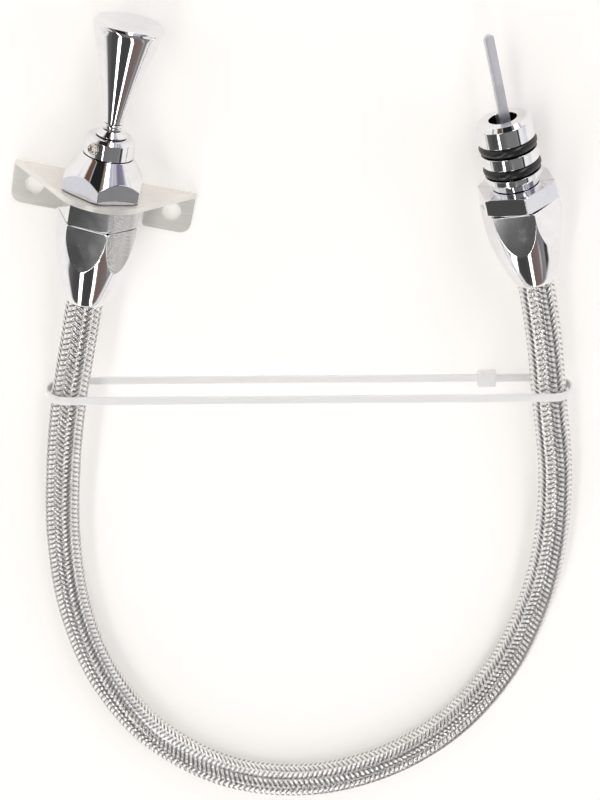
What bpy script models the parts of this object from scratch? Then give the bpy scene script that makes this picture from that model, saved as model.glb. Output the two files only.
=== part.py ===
"""Flexible dipstick: a pull handle with a straight cable head, a bulkhead fitting on an angle
bracket, a braided hose with its liner and cable, and a sealing plug that the blade leaves through.

The origin is the middle of the bracket's mounting face. +Y runs along the upper fitting towards
the handle and +Z points away from the mounting face. All sizes are in metres.
"""
import bmesh
import bpy
from math import asin, atan2, cos, pi, radians, sin, tau
from mathutils import Vector

# Clearance between pieces that meet, and the facets round a turned piece.
GAP = 0.0003
ROUND_STEPS = 28
SMALL_STEPS = 20

# Braided hose, its liner and the cable inside.
HOSE_RADIUS = 0.0071
BRAID_WALL = 0.0013
LINER_RADIUS = 0.0053
LINER_WALL = 0.00095
CABLE_RADIUS = 0.0014
HOSE_IN_SOCKET = 0.016
TUBE_POINT_SPACING = 0.015
ROUTE_STEPS = 24

# Angle bracket: the flange lies on the mounting plane, the shelf stands across the fitting,
# and a notch between the flange's two ears clears the hexagons.
SHEET = 0.002
FLANGE_HALF_WIDTH = 0.0338
FLANGE_HALF_DEPTH = 0.0084
FLANGE_CORNER_RADIUS = 0.0042
BEND_RADIUS = 0.0028
NOTCH_HALF_WIDTH = 0.0157
NOTCH_END_Y = 0.0046
SHELF_NOSE_RADIUS = 0.0176
SHELF_END_HEIGHT = 0.0022
BOLT_HOLE_RADIUS = 0.00355
BOLT_HOLE_X = 0.0259
BOLT_HOLE_Y = -0.0008

# Fitting axis of the handle end, and where each piece stands along it.
AXIS_HEIGHT = 0.0176
SHELF_TOP = FLANGE_HALF_DEPTH
SHELF_BOTTOM = SHELF_TOP - SHEET
NIPPLE_TOP = SHELF_BOTTOM - GAP
UPPER_SEAM = -0.0026
NUT_BOTTOM = SHELF_TOP + GAP
NUT_TOP = 0.0224
COLLAR_BOTTOM = NUT_TOP + GAP
COLLAR_TOP = 0.0296
SKIRT_BOTTOM = COLLAR_TOP + GAP
SKIRT_TOP = 0.0320
RING_BOTTOM = SKIRT_TOP + GAP
RING_TOP = 0.0345
GRIP_BOTTOM = RING_TOP + GAP
GRIP_TOP = 0.0715

# Radii of the fittings.
HEX_CORNER_RADIUS = 0.01524
NUT_CORNER_RADIUS = 0.0160
NUT_CONE_TOP_RADIUS = 0.0093
NUT_CONE_HEIGHT = 0.0095
THREAD_RADIUS = 0.0090
SOCKET_THREAD_RADIUS = 0.0080
TAIL_RADIUS = 0.00385
TAIL_LENGTH = 0.0266
PASSAGE_RADIUS = 0.0031
SOCKET_LENGTH = 0.0326
SOCKET_MOUTH_RADIUS = 0.0079
SOCKET_CURVE = 1.85
SOCKET_THREAD_DEPTH = 0.0092
COLLAR_RADIUS = 0.0091
COLLAR_TOP_RADIUS = 0.0079
SPIGOT_RADIUS = 0.0053
SPIGOT_BOTTOM = 0.0165
NUT_LEDGE = 0.0140
NIPPLE_SPIGOT_TOP = 0.0136
PLUG_SPIGOT_RADIUS = 0.0063
PLUG_SPIGOT_LENGTH = 0.0037
STEM_BORE_RADIUS = 0.0039
STEM_RADIUS = 0.0034
STUD_RADIUS = 0.0019
GRIP_RADIUS = 0.0129
GRIP_NECK_RADIUS = 0.00355
RING_RADIUS = 0.0040
SKIRT_RADIUS = 0.0056

# Corner directions of the hexagons, turned about the fitting from +Z towards +X.
NIPPLE_TURN = radians(19.0)
NUT_TURN = radians(-2.0)
LOWER_NIPPLE_TURN = radians(5.0)
LOWER_SOCKET_TURN = radians(14.0)

# Lock screw in the collar: its direction from +Z towards -X.
LOCK_TURN = radians(-34.0)
LOCK_RADIUS = 0.0021
LOCK_TIP = STEM_RADIUS + 0.00045
LOCK_LENGTH = 0.0063
LOCK_KEY_RADIUS = 0.00125
LOCK_KEY_DEPTH = 0.0024

# Guide stem, its seal, and the straight cable behind the handle with its crimped ferrule.
STEM_BOTTOM = 0.0140
STEM_CABLE_DEPTH = 0.0275
STEM_GROOVE = (0.0186, 0.0201)
STEM_GROOVE_RADIUS = 0.0026
STEM_SEAL_SECTION_RADIUS = 0.0005
STUD_LENGTH = 0.0115
CABLE_FERRULE_RADIUS = 0.0026
CABLE_FERRULE_ENDS = (0.0080, 0.0137)
HEAD_IN_HOSE = 0.020
TRAVEL = 0.060

# Lower fitting: the middle of its socket's mouth, and how it is turned and tipped.
LOWER_MOUTH = (0.1633, 0.0047, 0.0133)
LOWER_HEADING = radians(25.6)
LOWER_PITCH = radians(3.4)
LOWER_NIPPLE_LENGTH = 0.0067
PLUG_BOTTOM = SOCKET_LENGTH + LOWER_NIPPLE_LENGTH + 2.0 * GAP
PLUG_END = 0.0654
PLUG_RADIUS = 0.01035
PLUG_NECK_RADIUS = 0.0087
PLUG_BORE_RADIUS = 0.00515
PLUG_CHAMFER = 0.0015
SEAL_SECTION_RADIUS = 0.0019
SEAL_OUTER_RADIUS = 0.01065
GROOVE_FLOOR_RADIUS = 0.0066
GROOVE_WIDTH = 0.0042
GROOVE_CENTRES = (0.0471, 0.0556)

# Blade and the cable tail crimped to it, beside the middle of the plug's bore.
BLADE_OFFSET = 0.0007
BLADE_ROLL = radians(27.0)
BLADE_WIDTH = 0.0037
BLADE_THICKNESS = 0.0020
BLADE_ROOT = 0.0573
BLADE_TIP = 0.0967
TAIL_END = 0.0400
FERRULE_RADIUS = 0.0021
FERRULE_BOTTOM = 0.0520

# Nylon tie round both legs of the hose.
TIE_WIDTH = 0.0032
TIE_THICKNESS = 0.0012
TIE_LOOP_RADIUS = 0.0082
TIE_LEFT = (-0.0001, -0.0755, 0.0155)
TIE_RIGHT = (0.1810, -0.0396, 0.0105)
TIE_ARC_STEPS = 10
TIE_HEAD_PLACE = 0.875
TIE_HEAD_SIZE = (0.0075, 0.0066, 0.0042)
TIE_HEAD_LIFT = 0.0007

# Route of the hose from the upper socket's mouth to the lower one's.
HOSE_ROUTE = (
    (0.0000, -0.0352, 0.0176),
    (0.0000, -0.0550, 0.0173),
    (0.0000, -0.0800, 0.0152),
    (0.0018, -0.1100, 0.0118),
    (0.0065, -0.1450, 0.0084),
    (0.0165, -0.1800, 0.0073),
    (0.0340, -0.2120, 0.0073),
    (0.0600, -0.2375, 0.0073),
    (0.0940, -0.2508, 0.0073),
    (0.1290, -0.2480, 0.0073),
    (0.1600, -0.2315, 0.0073),
    (0.1835, -0.2050, 0.0073),
    (0.1975, -0.1720, 0.0073),
    (0.2022, -0.1380, 0.0073),
    (0.2005, -0.1070, 0.0074),
    (0.1938, -0.0760, 0.0082),
    (0.1835, -0.0470, 0.0100),
    (0.1735, -0.0195, 0.0118),
    LOWER_MOUTH,
)


def clear_scene():
    for item in list(bpy.data.objects):
        bpy.data.objects.remove(item, do_unlink=True)


def make_material(name, colour, roughness, metallic):
    material = bpy.data.materials.new(name)
    material.use_nodes = True
    shader = material.node_tree.nodes["Principled BSDF"]
    shader.inputs["Base Color"].default_value = (*colour, 1.0)
    shader.inputs["Roughness"].default_value = roughness
    shader.inputs["Metallic"].default_value = metallic
    return material


def polished(name):
    return make_material(name + "_chrome", (0.80, 0.80, 0.82), 0.08, 1.0)


def stainless(name):
    return make_material(name + "_stainless", (0.66, 0.65, 0.63), 0.30, 1.0)


def rubber(name):
    return make_material(name + "_rubber", (0.02, 0.02, 0.022), 0.45, 0.0)


def make_object(name, mesh_builder, material, parent):
    mesh = bpy.data.meshes.new(name)
    bmesh.ops.recalc_face_normals(mesh_builder, faces=mesh_builder.faces[:])
    mesh_builder.to_mesh(mesh)
    mesh_builder.free()
    mesh.shade_smooth()
    mesh.set_sharp_from_angle(angle=radians(35.0))
    item = bpy.data.objects.new(name, mesh)
    bpy.context.scene.collection.objects.link(item)
    item.data.materials.append(material)
    item.parent = parent
    return item


def make_frame(name, location, rotation):
    frame = bpy.data.objects.new(name, None)
    frame.location = location
    frame.rotation_euler = rotation
    bpy.context.scene.collection.objects.link(frame)
    return frame


def turned(profile, steps):
    """Spin a profile of (radius, height along Y) about the Y axis into a closed body."""
    shape = bmesh.new()
    corners = [shape.verts.new((radius, height, 0.0)) for radius, height in profile]
    closed = min(radius for radius, height in profile) > 0.0
    pairs = list(zip(corners, corners[1:]))
    if closed:
        pairs.append((corners[-1], corners[0]))
    edges = [shape.edges.new(pair) for pair in pairs]
    bmesh.ops.spin(shape, geom=corners + edges, cent=(0, 0, 0), axis=(0, 1, 0),
                   angle=tau, steps=steps, use_merge=True)
    bmesh.ops.remove_doubles(shape, verts=shape.verts[:], dist=1e-6)
    return shape


def prism(outline, low, high):
    """Extrude an outline of (x, z) points along Y from low to high."""
    shape = bmesh.new()
    face = shape.faces.new([shape.verts.new((x, low, z)) for x, z in outline])
    grown = bmesh.ops.extrude_face_region(shape, geom=[face])
    moved = [part for part in grown["geom"] if isinstance(part, bmesh.types.BMVert)]
    bmesh.ops.translate(shape, verts=moved, vec=(0, high - low, 0))
    return shape


def hexagon_points(corner_radius, start):
    """Corners of a hexagon in the XZ plane, the first at an angle measured from +Z towards +X."""
    angles = [start + tau * step / 6.0 for step in range(6)]
    return [(corner_radius * sin(angle), corner_radius * cos(angle)) for angle in angles]


def cutter(name, mesh_builder, parent):
    tool = make_object(name, mesh_builder, make_material(name, (1, 0, 0), 0.5, 0.0), parent)
    tool.hide_render = True
    tool.display_type = "WIRE"
    return tool


def add_boolean(item, tool, operation):
    modifier = item.modifiers.new(operation.lower(), "BOOLEAN")
    modifier.operation = operation
    modifier.object = tool
    modifier.solver = "EXACT"


def arc(centre, radius, start, end, steps):
    """Points on an arc, from a start angle to an end angle measured from +X."""
    span = end - start
    return [(centre[0] + radius * cos(start + span * step / steps),
             centre[1] + radius * sin(start + span * step / steps)) for step in range(steps + 1)]


def socket_radius(depth):
    """Outer radius of a hose socket, at a depth below its hexagonal end."""
    narrowing = HEX_CORNER_RADIUS - SOCKET_MOUTH_RADIUS
    return HEX_CORNER_RADIUS - narrowing * (depth / SOCKET_LENGTH) ** SOCKET_CURVE


def make_grip(parent):
    span = GRIP_TOP - GRIP_BOTTOM
    growth = GRIP_RADIUS - GRIP_NECK_RADIUS
    flare = [(GRIP_NECK_RADIUS + growth * part ** 1.12, GRIP_BOTTOM + span * part * 0.97)
             for part in (0.0, 0.25, 0.5, 0.75, 1.0)]
    bore = STUD_RADIUS + GAP
    bore_end = GRIP_BOTTOM + STUD_LENGTH + 0.001
    profile = [(0.0, bore_end), (bore, bore_end), (bore, GRIP_BOTTOM)]
    profile += flare
    profile += [(GRIP_RADIUS - 0.0011, GRIP_TOP), (0.0, GRIP_TOP)]
    return make_object("grip", turned(profile, ROUND_STEPS), polished("grip"), parent)


def make_grip_ring(parent):
    middle = (RING_BOTTOM + RING_TOP) / 2.0
    half = (RING_TOP - RING_BOTTOM) / 2.0
    bore = STUD_RADIUS + GAP
    bead = arc((RING_RADIUS - half, middle), half, -pi / 2.0, pi / 2.0, 5)
    profile = [(bore, RING_BOTTOM)] + bead + [(bore, RING_TOP)]
    return make_object("grip_ring", turned(profile, SMALL_STEPS), polished("grip_ring"), parent)


def make_grip_skirt(parent):
    bore = STUD_RADIUS + GAP
    profile = [(bore, SKIRT_BOTTOM), (SKIRT_RADIUS, SKIRT_BOTTOM), (SKIRT_RADIUS, SKIRT_BOTTOM + 0.0006),
               (0.0046, SKIRT_BOTTOM + 0.0012), (0.0038, SKIRT_TOP), (bore, SKIRT_TOP)]
    return make_object("grip_skirt", turned(profile, SMALL_STEPS), polished("grip_skirt"), parent)


def make_stem(parent):
    """Guide stem in the collar's bore, with a stud up into the grip and a groove for its seal."""
    shoulder = SKIRT_BOTTOM - GAP
    cable_bore = CABLE_RADIUS + GAP
    low, high = STEM_GROOVE
    stud_end = GRIP_BOTTOM + STUD_LENGTH
    profile = [(0.0, STEM_CABLE_DEPTH), (cable_bore, STEM_CABLE_DEPTH), (cable_bore, STEM_BOTTOM),
               (STEM_RADIUS, STEM_BOTTOM), (STEM_RADIUS, low), (STEM_GROOVE_RADIUS, low),
               (STEM_GROOVE_RADIUS, high), (STEM_RADIUS, high), (STEM_RADIUS, shoulder),
               (STUD_RADIUS, shoulder), (STUD_RADIUS, stud_end), (0.0, stud_end)]
    return make_object("stem", turned(profile, SMALL_STEPS), stainless("stem"), parent)


def make_stem_seal(parent):
    centre = (STEM_GROOVE_RADIUS + 0.0006, sum(STEM_GROOVE) / 2.0)
    ring = arc(centre, STEM_SEAL_SECTION_RADIUS, 0.0, tau * 7.0 / 8.0, 7)
    return make_object("stem_o_ring", turned(ring, SMALL_STEPS), rubber("stem_o_ring"), parent)


def make_cable_ferrule(parent):
    hole = CABLE_RADIUS + GAP
    low, high = CABLE_FERRULE_ENDS
    profile = [(hole, low), (CABLE_FERRULE_RADIUS, low), (CABLE_FERRULE_RADIUS, high), (hole, high)]
    return make_object("cable_ferrule", turned(profile, SMALL_STEPS), stainless("cable_ferrule"), parent)


def make_cable_head(parent):
    bottom = UPPER_SEAM - SOCKET_LENGTH - HEAD_IN_HOSE
    top = STEM_CABLE_DEPTH - 0.0005
    profile = [(0.0, bottom), (CABLE_RADIUS, bottom), (CABLE_RADIUS, top), (0.0, top)]
    return make_object("cable_head", turned(profile, 12), stainless("cable_head"), parent)


def make_collar(parent):
    profile = [(STEM_BORE_RADIUS, SPIGOT_BOTTOM), (SPIGOT_RADIUS, SPIGOT_BOTTOM), (SPIGOT_RADIUS, COLLAR_BOTTOM),
               (COLLAR_RADIUS, COLLAR_BOTTOM), (COLLAR_RADIUS, COLLAR_TOP - 0.0012),
               (COLLAR_TOP_RADIUS, COLLAR_TOP), (STEM_BORE_RADIUS, COLLAR_TOP)]
    collar = make_object("top_collar", turned(profile, ROUND_STEPS), polished("top_collar"), parent)
    hole_radius = LOCK_RADIUS + GAP
    profile = [(0.0, 0.0030), (hole_radius, 0.0030), (hole_radius, 0.0140), (0.0, 0.0140)]
    tool = cutter("lock_hole", turned(profile, SMALL_STEPS), parent)
    tool.location = (0, (COLLAR_BOTTOM + COLLAR_TOP) / 2.0 - 0.0002, 0)
    tool.rotation_euler = (pi / 2.0, LOCK_TURN, 0)
    add_boolean(collar, tool, "DIFFERENCE")
    return collar


def make_lock_screw(parent):
    """Socket set screw; its own Y axis points outward, and its origin is on the fitting's axis."""
    end = LOCK_TIP + LOCK_LENGTH
    profile = [(0.0, LOCK_TIP), (LOCK_RADIUS - 0.0006, LOCK_TIP), (LOCK_RADIUS, LOCK_TIP + 0.0007),
               (LOCK_RADIUS, end - 0.0003), (LOCK_RADIUS - 0.0003, end), (0.0, end)]
    brass = make_material("lock_screw_brass", (0.62, 0.50, 0.30), 0.25, 1.0)
    screw = make_object("lock_screw", turned(profile, SMALL_STEPS), brass, parent)
    screw.location = (0, (COLLAR_BOTTOM + COLLAR_TOP) / 2.0 - 0.0002, 0)
    screw.rotation_euler = (pi / 2.0, LOCK_TURN, 0)
    socket = prism(hexagon_points(LOCK_KEY_RADIUS, 0.0), end - LOCK_KEY_DEPTH, end + 0.001)
    add_boolean(screw, cutter("lock_key", socket, screw), "DIFFERENCE")
    return screw


def make_cone_nut(parent):
    """Bulkhead nut: a hexagon whose top is turned to a cone."""
    cone_foot = NUT_TOP - NUT_CONE_HEIGHT
    neck = SPIGOT_RADIUS + GAP
    profile = [(THREAD_RADIUS + GAP, NUT_BOTTOM), (NUT_CORNER_RADIUS + 0.0003, NUT_BOTTOM),
               (NUT_CORNER_RADIUS + 0.0003, cone_foot), (NUT_CONE_TOP_RADIUS, NUT_TOP), (neck, NUT_TOP),
               (neck, NUT_LEDGE), (THREAD_RADIUS + GAP, NUT_LEDGE)]
    nut = make_object("cone_nut", turned(profile, 36), polished("cone_nut"), parent)
    hexagon = prism(hexagon_points(NUT_CORNER_RADIUS, NUT_TURN), NUT_BOTTOM - 0.002, NUT_TOP + 0.002)
    add_boolean(nut, cutter("nut_hexagon", hexagon, parent), "INTERSECT")
    return nut


def shelf_outline():
    """Shelf seen along Y: full width at the bend, running in to a round nose about the fitting."""
    corner = (FLANGE_HALF_WIDTH, SHELF_END_HEIGHT)
    to_axis = Vector((-corner[0], AXIS_HEIGHT - corner[1]))
    tangent = atan2(to_axis.y, to_axis.x) - asin(SHELF_NOSE_RADIUS / to_axis.length)
    start = tangent - pi / 2.0
    nose = arc((0.0, AXIS_HEIGHT), SHELF_NOSE_RADIUS, start, pi - start, 16)
    left = [(-corner[0], corner[1]), (-FLANGE_HALF_WIDTH, -0.001)]
    return [(FLANGE_HALF_WIDTH, -0.001), corner] + nose + left


def make_bracket(parent):
    """Angle bracket with its origin on the fitting's axis, so that it can turn about the nipple."""
    inner = BEND_RADIUS - SHEET
    bend = (SHELF_TOP - BEND_RADIUS, BEND_RADIUS)
    section = [(-FLANGE_HALF_DEPTH, 0.0)] + arc(bend, BEND_RADIUS, -pi / 2.0, 0.0, 5)
    section += [(SHELF_TOP, 0.040), (SHELF_BOTTOM, 0.040)]
    section += arc(bend, inner, 0.0, -pi / 2.0, 5) + [(-FLANGE_HALF_DEPTH, SHEET)]
    angle = bmesh.new()
    half = FLANGE_HALF_WIDTH + 0.001
    face = angle.faces.new([angle.verts.new((-half, y, z - AXIS_HEIGHT)) for y, z in section])
    grown = bmesh.ops.extrude_face_region(angle, geom=[face])
    moved = [part for part in grown["geom"] if isinstance(part, bmesh.types.BMVert)]
    bmesh.ops.translate(angle, verts=moved, vec=(2.0 * half, 0, 0))
    bracket = make_object("bracket", angle, stainless("bracket"), parent)

    outline = [(x, z - AXIS_HEIGHT) for x, z in shelf_outline()]
    front = cutter("shelf_shape", prism(outline, -0.012, 0.012), parent)
    add_boolean(bracket, front, "INTERSECT")

    radius = FLANGE_CORNER_RADIUS
    low = radius - FLANGE_HALF_DEPTH
    fillet = 0.0015
    right = arc((FLANGE_HALF_WIDTH - radius, low), radius, 0.0, -pi / 2.0, 6)
    right += arc((NOTCH_HALF_WIDTH + fillet, fillet - FLANGE_HALF_DEPTH), fillet, -pi / 2.0, -pi, 3)
    right += arc((NOTCH_HALF_WIDTH - fillet, NOTCH_END_Y - fillet), fillet, 0.0, pi / 2.0, 3)
    left = [(-x, y) for x, y in reversed(right)]
    plan = [(FLANGE_HALF_WIDTH, 0.012)] + right + left + [(-FLANGE_HALF_WIDTH, 0.012)]
    flat = bmesh.new()
    face = flat.faces.new([flat.verts.new((x, y, -0.03)) for x, y in plan])
    grown = bmesh.ops.extrude_face_region(flat, geom=[face])
    moved = [part for part in grown["geom"] if isinstance(part, bmesh.types.BMVert)]
    bmesh.ops.translate(flat, verts=moved, vec=(0, 0, 0.06))
    add_boolean(bracket, cutter("flange_shape", flat, parent), "INTERSECT")

    hole_radius = THREAD_RADIUS + GAP
    hole = turned([(0.0, 0.0), (hole_radius, 0.0), (hole_radius, 0.012), (0.0, 0.012)], ROUND_STEPS)
    add_boolean(bracket, cutter("fitting_hole", hole, parent), "DIFFERENCE")
    for side in (-1.0, 1.0):
        bolt = turned([(0.0, -0.03), (BOLT_HOLE_RADIUS, -0.03), (BOLT_HOLE_RADIUS, 0.0), (0.0, 0.0)], 24)
        tool = cutter("bolt_hole", bolt, parent)
        tool.rotation_euler = (pi / 2.0, 0, 0)
        tool.location = (side * BOLT_HOLE_X, BOLT_HOLE_Y, 0)
        add_boolean(bracket, tool, "DIFFERENCE")
    return bracket


def make_nipple(name, seam, hex_top, upper_steps, turn, parent):
    """Hexagonal nipple: thread and hose tail below the seam, and a spigot above the hexagon."""
    tail_end = seam - TAIL_LENGTH
    thread_end = seam - (SOCKET_THREAD_DEPTH - GAP)
    profile = [(PASSAGE_RADIUS, tail_end), (TAIL_RADIUS, tail_end), (TAIL_RADIUS, thread_end),
               (SOCKET_THREAD_RADIUS, thread_end), (SOCKET_THREAD_RADIUS, seam),
               (HEX_CORNER_RADIUS - 0.0010, seam), (HEX_CORNER_RADIUS + 0.0002, seam + 0.0007),
               (HEX_CORNER_RADIUS + 0.0002, hex_top - 0.0007), (HEX_CORNER_RADIUS - 0.0010, hex_top)]
    profile += upper_steps
    profile.append((PASSAGE_RADIUS, upper_steps[-1][1]))
    nipple = make_object(name, turned(profile, ROUND_STEPS), polished(name), parent)
    outline = hexagon_points(HEX_CORNER_RADIUS, turn)
    hexagon = prism(outline, tail_end - 0.01, upper_steps[-1][1] + 0.01)
    add_boolean(nipple, cutter(name + "_hexagon", hexagon, parent), "INTERSECT")
    return nipple


def make_socket(name, top, turn, parent):
    """Hose socket: a tapering turned body with six flats that run out on the taper, mouth below."""
    depths = (0.0, 0.004, 0.008, 0.012, 0.016, 0.020, 0.024, 0.028, SOCKET_LENGTH)
    mouth = top - SOCKET_LENGTH
    outside = [(socket_radius(depth), top - depth) for depth in reversed(depths)]
    bore = HOSE_RADIUS + GAP
    thread = SOCKET_THREAD_RADIUS + GAP
    ledge = top - SOCKET_THREAD_DEPTH
    profile = [(bore, mouth)] + outside + [(thread, top), (thread, ledge), (bore, ledge)]
    socket = make_object(name, turned(profile, 36), polished(name), parent)
    flat_radius = HEX_CORNER_RADIUS - 0.0001
    hexagon = prism(hexagon_points(flat_radius, turn), mouth - 0.002, top + 0.002)
    add_boolean(socket, cutter(name + "_hexagon", hexagon, parent), "INTERSECT")
    return socket


def make_plug(parent):
    """Sealing plug: stepped neck, two seal grooves and a bevelled end, bored through."""
    counterbore = PLUG_SPIGOT_RADIUS + GAP
    profile = [(counterbore, PLUG_BOTTOM), (PLUG_NECK_RADIUS, PLUG_BOTTOM),
               (PLUG_NECK_RADIUS, PLUG_BOTTOM + 0.0022), (PLUG_RADIUS, PLUG_BOTTOM + 0.0030)]
    for centre in GROOVE_CENTRES:
        low = centre - GROOVE_WIDTH / 2.0
        high = centre + GROOVE_WIDTH / 2.0
        profile += [(PLUG_RADIUS, low), (GROOVE_FLOOR_RADIUS, low),
                    (GROOVE_FLOOR_RADIUS, high), (PLUG_RADIUS, high)]
    profile += [(PLUG_RADIUS, PLUG_END - PLUG_CHAMFER), (PLUG_RADIUS - PLUG_CHAMFER, PLUG_END),
                (PLUG_BORE_RADIUS, PLUG_END), (PLUG_BORE_RADIUS, PLUG_BOTTOM + 0.0040),
                (counterbore, PLUG_BOTTOM + 0.0040)]
    return make_object("plug_body", turned(profile, ROUND_STEPS), polished("plug_body"), parent)


def make_plug_seals(parent):
    names = ("plug_o_ring_inner", "plug_o_ring_outer")
    for name, centre in zip(names, GROOVE_CENTRES):
        middle = SEAL_OUTER_RADIUS - SEAL_SECTION_RADIUS
        ring = arc((middle, centre), SEAL_SECTION_RADIUS, 0.0, tau * 9.0 / 10.0, 9)
        make_object(name, turned(ring, ROUND_STEPS), rubber(name), parent)


def make_blade(parent):
    """Flat blade with a round tip and eased edges, standing out of the plug."""
    half = BLADE_WIDTH / 2.0
    tip = arc((0.0, BLADE_TIP - half), half, 0.0, pi, 8)
    outline = [(half, BLADE_ROOT)] + tip + [(-half, BLADE_ROOT)]
    shape = bmesh.new()
    face = shape.faces.new([shape.verts.new((x, y, -BLADE_THICKNESS / 2.0)) for x, y in outline])
    grown = bmesh.ops.extrude_face_region(shape, geom=[face])
    moved = [part for part in grown["geom"] if isinstance(part, bmesh.types.BMVert)]
    bmesh.ops.translate(shape, verts=moved, vec=(0, 0, BLADE_THICKNESS))
    colour = make_material("blade_steel", (0.62, 0.62, 0.65), 0.35, 0.9)
    blade = make_object("blade", shape, colour, parent)
    blade.rotation_euler = (0, BLADE_ROLL, 0)
    return blade


def make_blade_ferrule(parent):
    hole = CABLE_RADIUS + GAP
    top = BLADE_ROOT - GAP
    profile = [(hole, FERRULE_BOTTOM), (FERRULE_RADIUS, FERRULE_BOTTOM), (FERRULE_RADIUS, top), (hole, top)]
    return make_object("blade_ferrule", turned(profile, SMALL_STEPS), stainless("blade_ferrule"), parent)


def make_cable_tail(parent):
    top = BLADE_ROOT - GAP
    profile = [(0.0, TAIL_END), (CABLE_RADIUS, TAIL_END), (CABLE_RADIUS, top), (0.0, top)]
    return make_object("cable_tail", turned(profile, 12), stainless("cable_tail"), parent)


def smooth_route(points, spacing, start=0.0, end=0.0):
    """Evenly spaced points on a smooth curve through the route's points, less a length at each end."""
    knots = [Vector(point) for point in points]
    ends = [2.0 * knots[0] - knots[1]] + knots + [2.0 * knots[-1] - knots[-2]]
    dense = []
    for before, here, there, after in zip(ends, ends[1:], ends[2:], ends[3:]):
        for step in range(ROUTE_STEPS):
            t = step / ROUTE_STEPS
            dense.append(0.5 * (2.0 * here + (there - before) * t
                                + (2.0 * before - 5.0 * here + 4.0 * there - after) * t * t
                                + (3.0 * here - before - 3.0 * there + after) * t ** 3))
    dense.append(knots[-1])
    lengths = [0.0]
    for here, there in zip(dense, dense[1:]):
        lengths.append(lengths[-1] + (there - here).length)
    used = lengths[-1] - start - end
    count = round(used / spacing)
    even = []
    index = 0
    for step in range(count + 1):
        wanted = start + used * step / count
        while index < len(lengths) - 2 and lengths[index + 1] < wanted:
            index += 1
        part = (wanted - lengths[index]) / (lengths[index + 1] - lengths[index])
        even.append(dense[index].lerp(dense[index + 1], part))
    return even


def make_tube(name, route, radius, wall, material):
    """Sweep a round tube along the route; a wall makes it hollow and open at both ends."""
    curve = bpy.data.curves.new(name, "CURVE")
    curve.dimensions = "3D"
    curve.bevel_depth = radius
    curve.bevel_resolution = 4 if wall else 2
    curve.use_fill_caps = wall == 0.0
    spline = curve.splines.new("POLY")
    spline.points.add(len(route) - 1)
    for point, place in zip(spline.points, route):
        point.co = (*place, 1.0)
    item = bpy.data.objects.new(name, curve)
    bpy.context.scene.collection.objects.link(item)
    curve.materials.append(material)
    if wall:
        shell = item.modifiers.new("wall", "SOLIDIFY")
        shell.thickness = wall
        shell.offset = -1.0
    return item


def make_hose():
    """Braid and liner run into both sockets; the cable fills the hose between the two sliding ends."""
    level = cos(LOWER_PITCH)
    along = Vector((-sin(LOWER_HEADING) * level, cos(LOWER_HEADING) * level, sin(LOWER_PITCH)))
    middle = smooth_route(HOSE_ROUTE, TUBE_POINT_SPACING)
    upper_end = Vector(HOSE_ROUTE[0]) + Vector((0, HOSE_IN_SOCKET, 0))
    lower_end = Vector(HOSE_ROUTE[-1]) + along * HOSE_IN_SOCKET
    whole = [upper_end] + middle + [lower_end]
    braid = make_material("hose_braid_stainless", (0.62, 0.61, 0.59), 0.35, 1.0)
    liner = make_material("hose_liner_polymer", (0.86, 0.86, 0.84), 0.45, 0.0)
    make_tube("hose_braid", whole, HOSE_RADIUS, BRAID_WALL, braid)
    make_tube("hose_liner", whole, LINER_RADIUS, LINER_WALL, liner)
    tail_reach = TRAVEL - TAIL_END
    inside = smooth_route(HOSE_ROUTE, TUBE_POINT_SPACING, HEAD_IN_HOSE + 2.0 * GAP, tail_reach + 0.002)
    make_tube("core_cable", inside, CABLE_RADIUS, 0.0, stainless("core_cable"))


def make_tie():
    """Nylon strap round both legs of the hose, and its square locking head on the lower run."""
    left = Vector(TIE_LEFT)
    right = Vector(TIE_RIGHT)
    along = (right - left).normalized()
    across = along.cross(Vector((0, 0, 1))).normalized()
    upward = across.cross(along).normalized()
    span = (right - left).length
    nylon = make_material("tie_nylon", (0.93, 0.93, 0.92), 0.35, 0.0)
    rings = []
    for radius in (TIE_LOOP_RADIUS, TIE_LOOP_RADIUS + TIE_THICKNESS):
        path = arc((span, 0.0), radius, -pi / 2.0, pi / 2.0, TIE_ARC_STEPS)
        path += arc((0.0, 0.0), radius, pi / 2.0, pi * 1.5, TIE_ARC_STEPS)
        rings.append([left + along * x + upward * z for x, z in path])
    shape = bmesh.new()
    loops = []
    corners = ((rings[0], -0.5), (rings[1], -0.5), (rings[1], 0.5), (rings[0], 0.5))
    for ring, side in corners:
        verts = [shape.verts.new(place + across * TIE_WIDTH * side) for place in ring]
        loops.append(verts)
    count = len(loops[0])
    for here, there in zip(loops, loops[1:] + loops[:1]):
        for step in range(count):
            follow = (step + 1) % count
            shape.faces.new((here[step], here[follow], there[follow], there[step]))
    make_object("tie_strap", shape, nylon, None)

    length, width, height = TIE_HEAD_SIZE
    block = bmesh.new()
    bmesh.ops.create_cube(block, size=1.0)
    bmesh.ops.scale(block, verts=block.verts[:], vec=(length, width, height))
    bmesh.ops.translate(block, verts=block.verts[:], vec=(0, 0, TIE_HEAD_LIFT))
    head = make_object("tie_head", block, nylon, None)
    slot = bmesh.new()
    bmesh.ops.create_cube(slot, size=1.0)
    opening = (length * 2.0, TIE_WIDTH + 2.0 * GAP, TIE_THICKNESS + 2.0 * GAP)
    bmesh.ops.scale(slot, verts=slot.verts[:], vec=opening)
    tool = cutter("tie_slot", slot, None)
    lower_run = left + along * span * TIE_HEAD_PLACE - upward * (TIE_LOOP_RADIUS + TIE_THICKNESS / 2.0)
    turn = (0.0, -asin(along.z), atan2(along.y, along.x))
    for item in (head, tool):
        item.location = lower_run
        item.rotation_euler = turn
    add_boolean(head, tool, "DIFFERENCE")


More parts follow.
